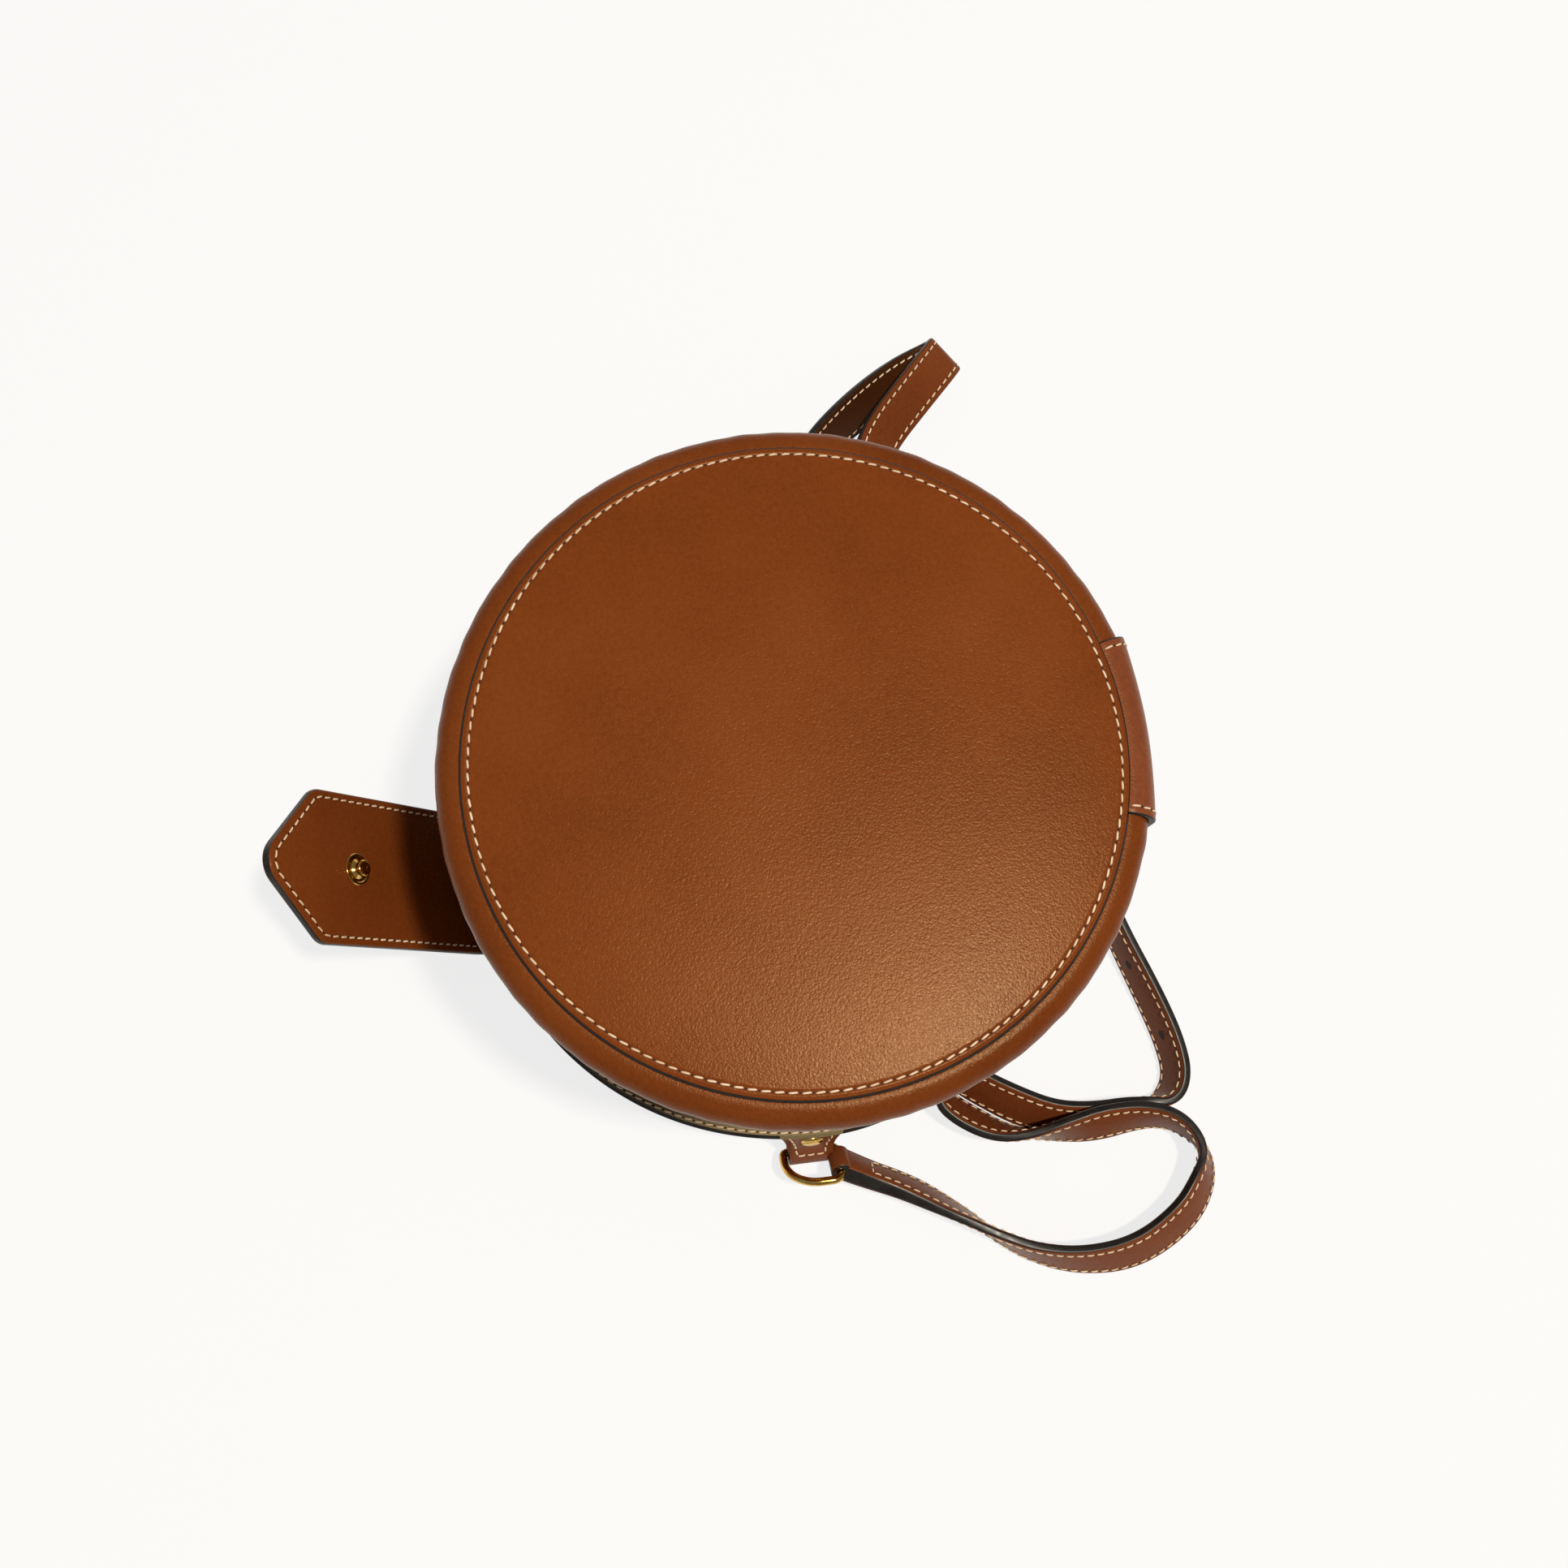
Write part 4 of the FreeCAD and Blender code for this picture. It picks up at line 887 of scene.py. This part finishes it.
# the strap's middle line in millimetres, and how far its upper edge leans along X and Y
longRoute = [
    (108.5, 9.8, 12.3, 0.656, 0), (113.4, 19.2, 9.9, 0.46, -0.05), (117.6, 28.5, 9, 0.4, -0.12),
    (122.6, 37.5, 8.7, 0.34, -0.17), (131.3, 50.6, 8.9, 0.14, -0.12), (138.1, 59.4, 8.8, -0.02, 0.02),
    (145.3, 70.8, 8.9, -0.22, 0.12), (150.2, 87, 8.5, -0.48, 0.1), (149.8, 106.4, 7.8, -0.66, -0.08),
    (140.6, 124.4, 7.6, -0.6, -0.4), (130.4, 132.8, 7.8, -0.35, -0.58), (121.3, 135.2, 8.4, -0.02, -0.45),
    (113.4, 131.2, 9.6, 0, -0.05), (107.3, 123.4, 11.6, -0.23, 0.12), (105.2, 112.6, 13.6, -0.48, 0.08),
    (106, 99.7, 14.4, -0.62, -0.05), (107, 88.5, 13.8, -0.42, -0.1), (107.3, 77.5, 11, -0.05, 0),
    (105.6, 67.8, 9.2, 0.25, -0.12), (101.9, 60.2, 8.8, 0.43, -0.2), (96.5, 52.4, 8.8, 0.37, -0.34),
    (91.3, 47.2, 8.9, 0.3, -0.28), (86.6, 47.4, 8.9, 0, 0), (84.8, 52.8, 8.9, -0.27, 0.15),
    (87.2, 58.4, 8.8, -0.48, 0.27), (91.3, 64, 8.5, -0.47, 0.3), (97.4, 73.6, 8.4, -0.53, 0.33),
    (101.4, 82, 8.3, -0.57, 0.17), (103.6, 90, 8.1, -0.6, 0.05), (104.8, 99.7, 8, -0.63, 0),
    (103.6, 110, 8.3, -0.5, 0), (102.2, 117.6, 8.9, -0.2, 0), (101.4, 123.2, 8.8, 0.1, 0.08),
    (97.8, 127.8, 8.8, 0.17, 0.17), (91.6, 129.9, 8.8, 0.07, 0.22), (84, 129.4, 8.8, 0.03, 0.24),
    (74.8, 127.5, 8.8, 0, 0.25), (60.8, 123.2, 9, -0.07, 0.22), (46, 118, 10, -0.03, 0.16),
    (34, 114.6, 11.4, 0, 0.08), (22, 113.2, 12.2, 0, 0), (6, 113, 12.2, 0, 0), (-50, 113, 12.2, 0, 0)]
shortRoute = [
    (-108.5, 9.8, 12.3, -0.656, 0), (-112.5, 19.5, 10.6, -0.36, -0.36), (-122.5, 22.5, 9.8, -0.05, -0.35),
    (-135, 24.5, 9.2, -0.12, -0.36), (-148.6, 33.6, 8.6, -0.33, -0.38), (-163.1, 50.4, 7.8, -0.45, -0.47),
    (-175.4, 69.4, 6.6, -0.56, -0.58), (-182.4, 86.4, 5.8, -0.64, -0.66), (-181, 87.9, 14, -0.64, -0.66),
    (-165.2, 72.7, 13.8, -0.63, -0.66), (-151, 59.2, 13.2, -0.62, -0.65), (-137.5, 51.5, 12.4, -0.5, -0.55),
    (-125, 56.5, 10.8, -0.5, -0.6), (-113, 66.5, 9.8, -0.35, -0.4), (-99, 80, 9.3, 0, 0),
    (-84, 93, 9.6, 0, 0), (-66, 103.5, 11, 0, 0), (-46, 107.7, 12.2, 0, 0), (-41, 107.7, 12.2, 0, 0),
    (-12, 107.7, 12.2, 0, 0)]


def smoothLine(name, points):  # points along a spline that takes the given ones as its control points
    curve = bpy.data.curves.new(name, "CURVE")
    curve.dimensions = "3D"
    spline = curve.splines.new("NURBS")
    spline.points.add(len(points) - 1)
    for point, place in zip(spline.points, points):
        point.co = (*place, 1)
    spline.order_u = 3
    spline.use_endpoint_u = True
    spline.resolution_u = strapLook["resolution"]
    holder = placed(name, curve)
    mesh = asMesh(holder)
    line = np.array([vertex.co for vertex in mesh.vertices])
    bpy.data.meshes.remove(mesh)
    bpy.data.objects.remove(holder)
    bpy.data.curves.remove(curve)
    return line


def strapRows(name, route):
    places = smoothLine(name + "Line", [(x * mm, y * mm, z * mm) for x, y, z, leanX, leanY in route])
    leans = smoothLine(name + "Lean", [(leanX, leanY, 0) for x, y, z, leanX, leanY in route])
    ahead = unitRows(np.gradient(places, axis=0))
    rows = []
    for place, lean, forward in zip(places, leans, ahead):
        up = at(lean[0], lean[1], sqrt(1 - lean[0] ** 2 - lean[1] ** 2))
        across = unit(up - forward * (up @ forward))
        taper = min(1, np.linalg.norm(place - places[0]) / strapLook["taper"])
        wide = strapLook["eyeWidth"] + (strapLook["width"] - strapLook["eyeWidth"]) * taper
        thick = strapLook["endThick"] + (strapLook["thick"] - strapLook["endThick"]) * taper
        rows.append((place, across, np.cross(forward, across) * thick / strapLook["thick"], wide / 2))
    return rows


def paintFoldShadow(strap, rows):  # painted shadow: the short strap is darker inside its fold, up to the point farthest out
    path = np.array([row[0] for row in rows])
    turn = int(np.argmin(path[:, 0]))
    for face in strap.data.polygons:
        nearest = int(np.argmin(np.linalg.norm(path - np.array(face.center), axis=1)))
        inward = Vector(rows[nearest][2]).dot(face.normal)
        if nearest < turn and face.material_index == 0 and inward > 0:
            face.material_index = 2


def makeStrap(name, route, side, node, body):
    rows = strapRows(name, route)
    flat = strapSection(strapLook["width"], strapLook["thick"], strapLook["edge"])
    section = [(a / strapLook["width"] * 2, b, kind) for a, b, kind in flat]
    strap = sweep(name, rows, section, [strapLeather, edgeBlack, foldPaintedShadow])
    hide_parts(node)
    # the inner faces of the short strap's fold get the painted shadow
    if side < 0:
        paintFoldShadow(strap, rows)
    path = [row[0] for row in rows]
    reach = reachAlong(np.array(path))
    first = int(np.argmin(abs(reach - strapLook["crossRow"])))
    seams = []
    for face in (1, -1):
        sewn = rows[first:-strapLook["seamEnd"]]
        seams += edgeRows(sewn, rows[first], strapLook["stitch"], strapLook["thick"] / 2, face)
    seam = stitches(name + "Stitches", seams)
    loopIn, loopOut = ringLook["wire"] + earLook["clear"], strapLook["endThick"] / 2 + earLook["clear"]
    tall, inner, outer = strapLook["eyeWidth"] / 2, strapLook["eyeInner"], strapLook["eyeOuter"]
    profile = softCorners([(loopIn, -tall, inner, 1), (loopOut, -tall, outer, 0), (loopOut, tall, outer, 1),
                           (loopIn, tall, inner, 0)])
    loop = lathe(name + "Eye", profile, [strapLeather, edgeBlack], strapLook["steps"])
    loop.data.transform(stood(path[0], ringRise(side)))
    rides(body, loop)
    for made in (strap, seam):
        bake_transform(made)
    print(name, "is", round(reach[-1] * 1000), "mm long")
    return strap, rows, path, float(reach[-1])


def strapHoles(rows):  # adjusting holes, counted from the strap's free end, drawn as flat dark discs of painted shade on both faces
    points, faces = [], []
    reach = reachAlong(np.array([row[0] for row in rows]))
    sides = strapLook["holeSides"]
    for index in range(strapLook["holes"]):
        fromEnd = strapLook["holeFirst"] + index * strapLook["holePitch"]
        place, across, out, wide = rows[int(np.argmin(abs(reach[-1] - reach - fromEnd)))]
        forward = np.cross(across, out)
        for face in (1, -1):
            first = len(points)
            for ring, lift in strapLook["holeRings"]:
                level = place + out * face * (strapLook["thick"] / 2 + lift)
                for cosine, sine in circle(sides):
                    points.append(level + (across * cosine + forward * sine) * strapLook["hole"] * ring)
            for s in range(sides):
                after = (s + 1) % sides
                faces.append((first + s, first + after, first + sides + after, first + sides + s))
            faces.append(tuple(first + sides + s for s in range(sides)))
    rides("base", newPiece("strapHoles", points, faces, [awlHole]))


# the strap's buckle, behind the bag: slanting wire frame, prong and leather keeper
buckle = {**lengths(wire=1.4, half=10.15, corner=2.6, prong=1.2, eyeGap=0.06, eyeInner=0.2, eyeOuter=0.5),
          "heel": (-12.0, 107.7, 12.2), "front": (8.0, 116.4, 12.2), "flat": 0.95, "prongSides": 16,
          "steps": 40,
          "taper": ((0.1, 1.0), (0.3, 1.0), (0.6, 0.95), (0.85, 0.9), (0.95, 0.85), (1.0, 0.65), (1.02, 0.3))}
keeperLook = lengths(thick=1.4, corner=1.2, edge=0.45)


def makeBuckle():
    heel, front = np.array(buckle["heel"]) * mm, np.array(buckle["front"]) * mm
    half = np.linalg.norm(front - heel) / 2
    flat = roundedLoop(half, buckle["half"], [buckle["corner"]] * 4)
    loop = wireLoop("strapBuckle", (heel + front) / 2, unit(front - heel), upright, flat, buckle["wire"])
    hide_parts("buckle_frame")
    rides("base", loop)
    prong = buckle["prong"]
    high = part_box("buckle_prong")[1]
    tip = at(high.x - prong, high.y - prong, heel[2])
    out = np.cross(upright, unit(tip - heel))
    rows = [(heel + (tip - heel) * share, upright, out, size) for share, size in buckle["taper"]]
    section = [(prong * cosine, prong * buckle["flat"] * sine, 0)
               for cosine, sine in circle(buckle["prongSides"])]
    pin = sweep("bucklePin", rows, section, [brass, brass])
    eyeIn, eyeOut = buckle["wire"] + buckle["eyeGap"], buckle["wire"] + prong
    inner, outer = buckle["eyeInner"], buckle["eyeOuter"]
    profile = softCorners([(eyeIn, -prong, inner, 0), (eyeOut, -prong, outer, 0), (eyeOut, prong, outer, 0),
                           (eyeIn, prong, inner, 0)])
    eye = lathe("bucklePinEye", profile, [brass], buckle["steps"])
    eye.data.transform(Matrix.Translation(Vector(heel)))
    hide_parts("buckle_prong")
    rides("prong", pin, eye)


def makeKeeper():
    low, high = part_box("strap_keeper")
    centre = np.array((low + high) / 2)
    thick = keeperLook["thick"]
    halfY, halfZ = (high.y - low.y) / 2 - thick / 2, (high.z - low.z) / 2 - thick / 2
    rows = []
    for (a, b), (outA, outB) in zip(*roundedLoop(halfY, halfZ, [keeperLook["corner"]] * 4)):
        rows.append((centre + at(0, a, b), eastward, at(0, outA, outB), 1.0))
    section = strapSection(high.x - low.x, thick, keeperLook["edge"])
    keeper = sweep("strapKeeper", rows, section, [strapLeather, edgeBlack], closed=True)
    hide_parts("strap_keeper")
    rides("keeper", keeper)


# the inside: linings, boards, cords and the collar that the lid slides over
insidePaints = {"base_lining": liningSuede, "lid_lining": liningSuede, "base_collar": sideLeather,
                "base_board": rawBoard, "lid_board": rawBoard, "base_rim_core": cottonCord,
                "lid_rim_core": cottonCord, "socket_backing": brass}
collarLook = lengths(seam=2.6, thick=1.6)


def makeInside():
    for node, paint in insidePaints.items():
        made = frame["nodes"][node]
        made.data.materials.clear()
        made.data.materials.append(paint)
    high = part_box("base_collar")[1]
    line = high.z - collarLook["seam"]
    seam = stitches("collarStitches", [ringRow(high.x, line, out=(1, 0, 0)),
                                       ringRow(high.x - collarLook["thick"], line, out=(-1, 0, 0))])
    rides("base", seam)


makePanels()
print("panels sewn")
makeRims()
makeWalls()
print("rims and walls rolled")
makeBelt()
makeTab()
makeSnaps()
print("belt, tab and snaps on")
makeSides()
print("rings hung in their ears")
longStrap, longRows, longPath, longLength = makeStrap(
    "strapLong", longRoute, 1, "strap_long", "right_ring")
shortStrap, _, shortPath, shortLength = makeStrap(
    "strapShort", shortRoute, -1, "strap_short", "left_ring")
strapHoles(longRows)
makeBuckle()
makeKeeper()
makeInside()
print("strap and buckle laid out")


# pale floor and soft studio light
studio = {"floor": 6.0, "floorColour": (0.9, 0.9, 0.89, 1), "floorDrop": 0.0004, "seenGlow": 0.8,
          "mirrorGlow": 0.38, "sky": 0.22, "aim": (0, 0, 0.1),
          "key": {"place": (0.22, 0.45, 2.2), "size": 0.14, "power": 40.0, "colour": (1.0, 0.9, 0.76)}}
white = (1, 1, 1, 1)


def makeFloor():
    half = studio["floor"] / 2
    paint = Paint("paleFloor")
    ray = paint.add("ShaderNodeLightPath", {}, {}, "Is Camera Ray")
    shine = paint.add("ShaderNodeLightPath", {}, {}, "Is Glossy Ray")
    matte = paint.add("ShaderNodeBsdfDiffuse", {}, {"Color": studio["floorColour"]})
    bright = paint.add("ShaderNodeEmission", {}, {"Color": white, "Strength": 1.0})
    glow = ray * studio["seenGlow"] + shine * studio["mirrorGlow"]
    paint.finished(paint.add("ShaderNodeMixShader", {}, {0: glow, 1: matte, 2: bright}))
    corners = [(-half, -half, 0), (half, -half, 0), (half, half, 0), (-half, half, 0)]
    floor = newPiece("floor", corners, [(0, 1, 2, 3)], [paint.material])
    floor.location.z = -studio["floorDrop"]


def makeSky():  # dim for the object, white for the camera
    world = bpy.data.worlds.new("studioSky")
    world.use_nodes = True
    tree = world.node_tree
    sky = tree.nodes["Background"]
    sky.inputs["Color"].default_value = white
    path = tree.nodes.new("ShaderNodeLightPath")
    seen = tree.nodes.new("ShaderNodeMath")
    seen.operation = "MAXIMUM"
    tree.links.new(path.outputs["Is Camera Ray"], seen.inputs[0])
    tree.links.new(path.outputs["Is Transmission Ray"], seen.inputs[1])
    strength = tree.nodes.new("ShaderNodeMapRange")
    strength.inputs["To Min"].default_value = studio["sky"]
    strength.inputs["To Max"].default_value = 1.0
    tree.links.new(seen.outputs[0], strength.inputs["Value"])
    tree.links.new(strength.outputs[0], sky.inputs["Strength"])
    bpy.context.scene.world = world


def makeLamp():
    lamp = studio["key"]
    data = bpy.data.lights.new("keyLamp", "AREA")
    data.size = lamp["size"]
    data.energy = lamp["power"]
    data.color = lamp["colour"]
    made = placed("keyLamp", data)
    made.location = lamp["place"]
    toObject = Vector(studio["aim"]) - Vector(lamp["place"])
    made.rotation_euler = toObject.to_track_quat("-Z", "Y").to_euler()


makeFloor()
makeSky()
makeLamp()
bpy.context.scene.view_settings.view_transform = "Standard"
print("studio lit")
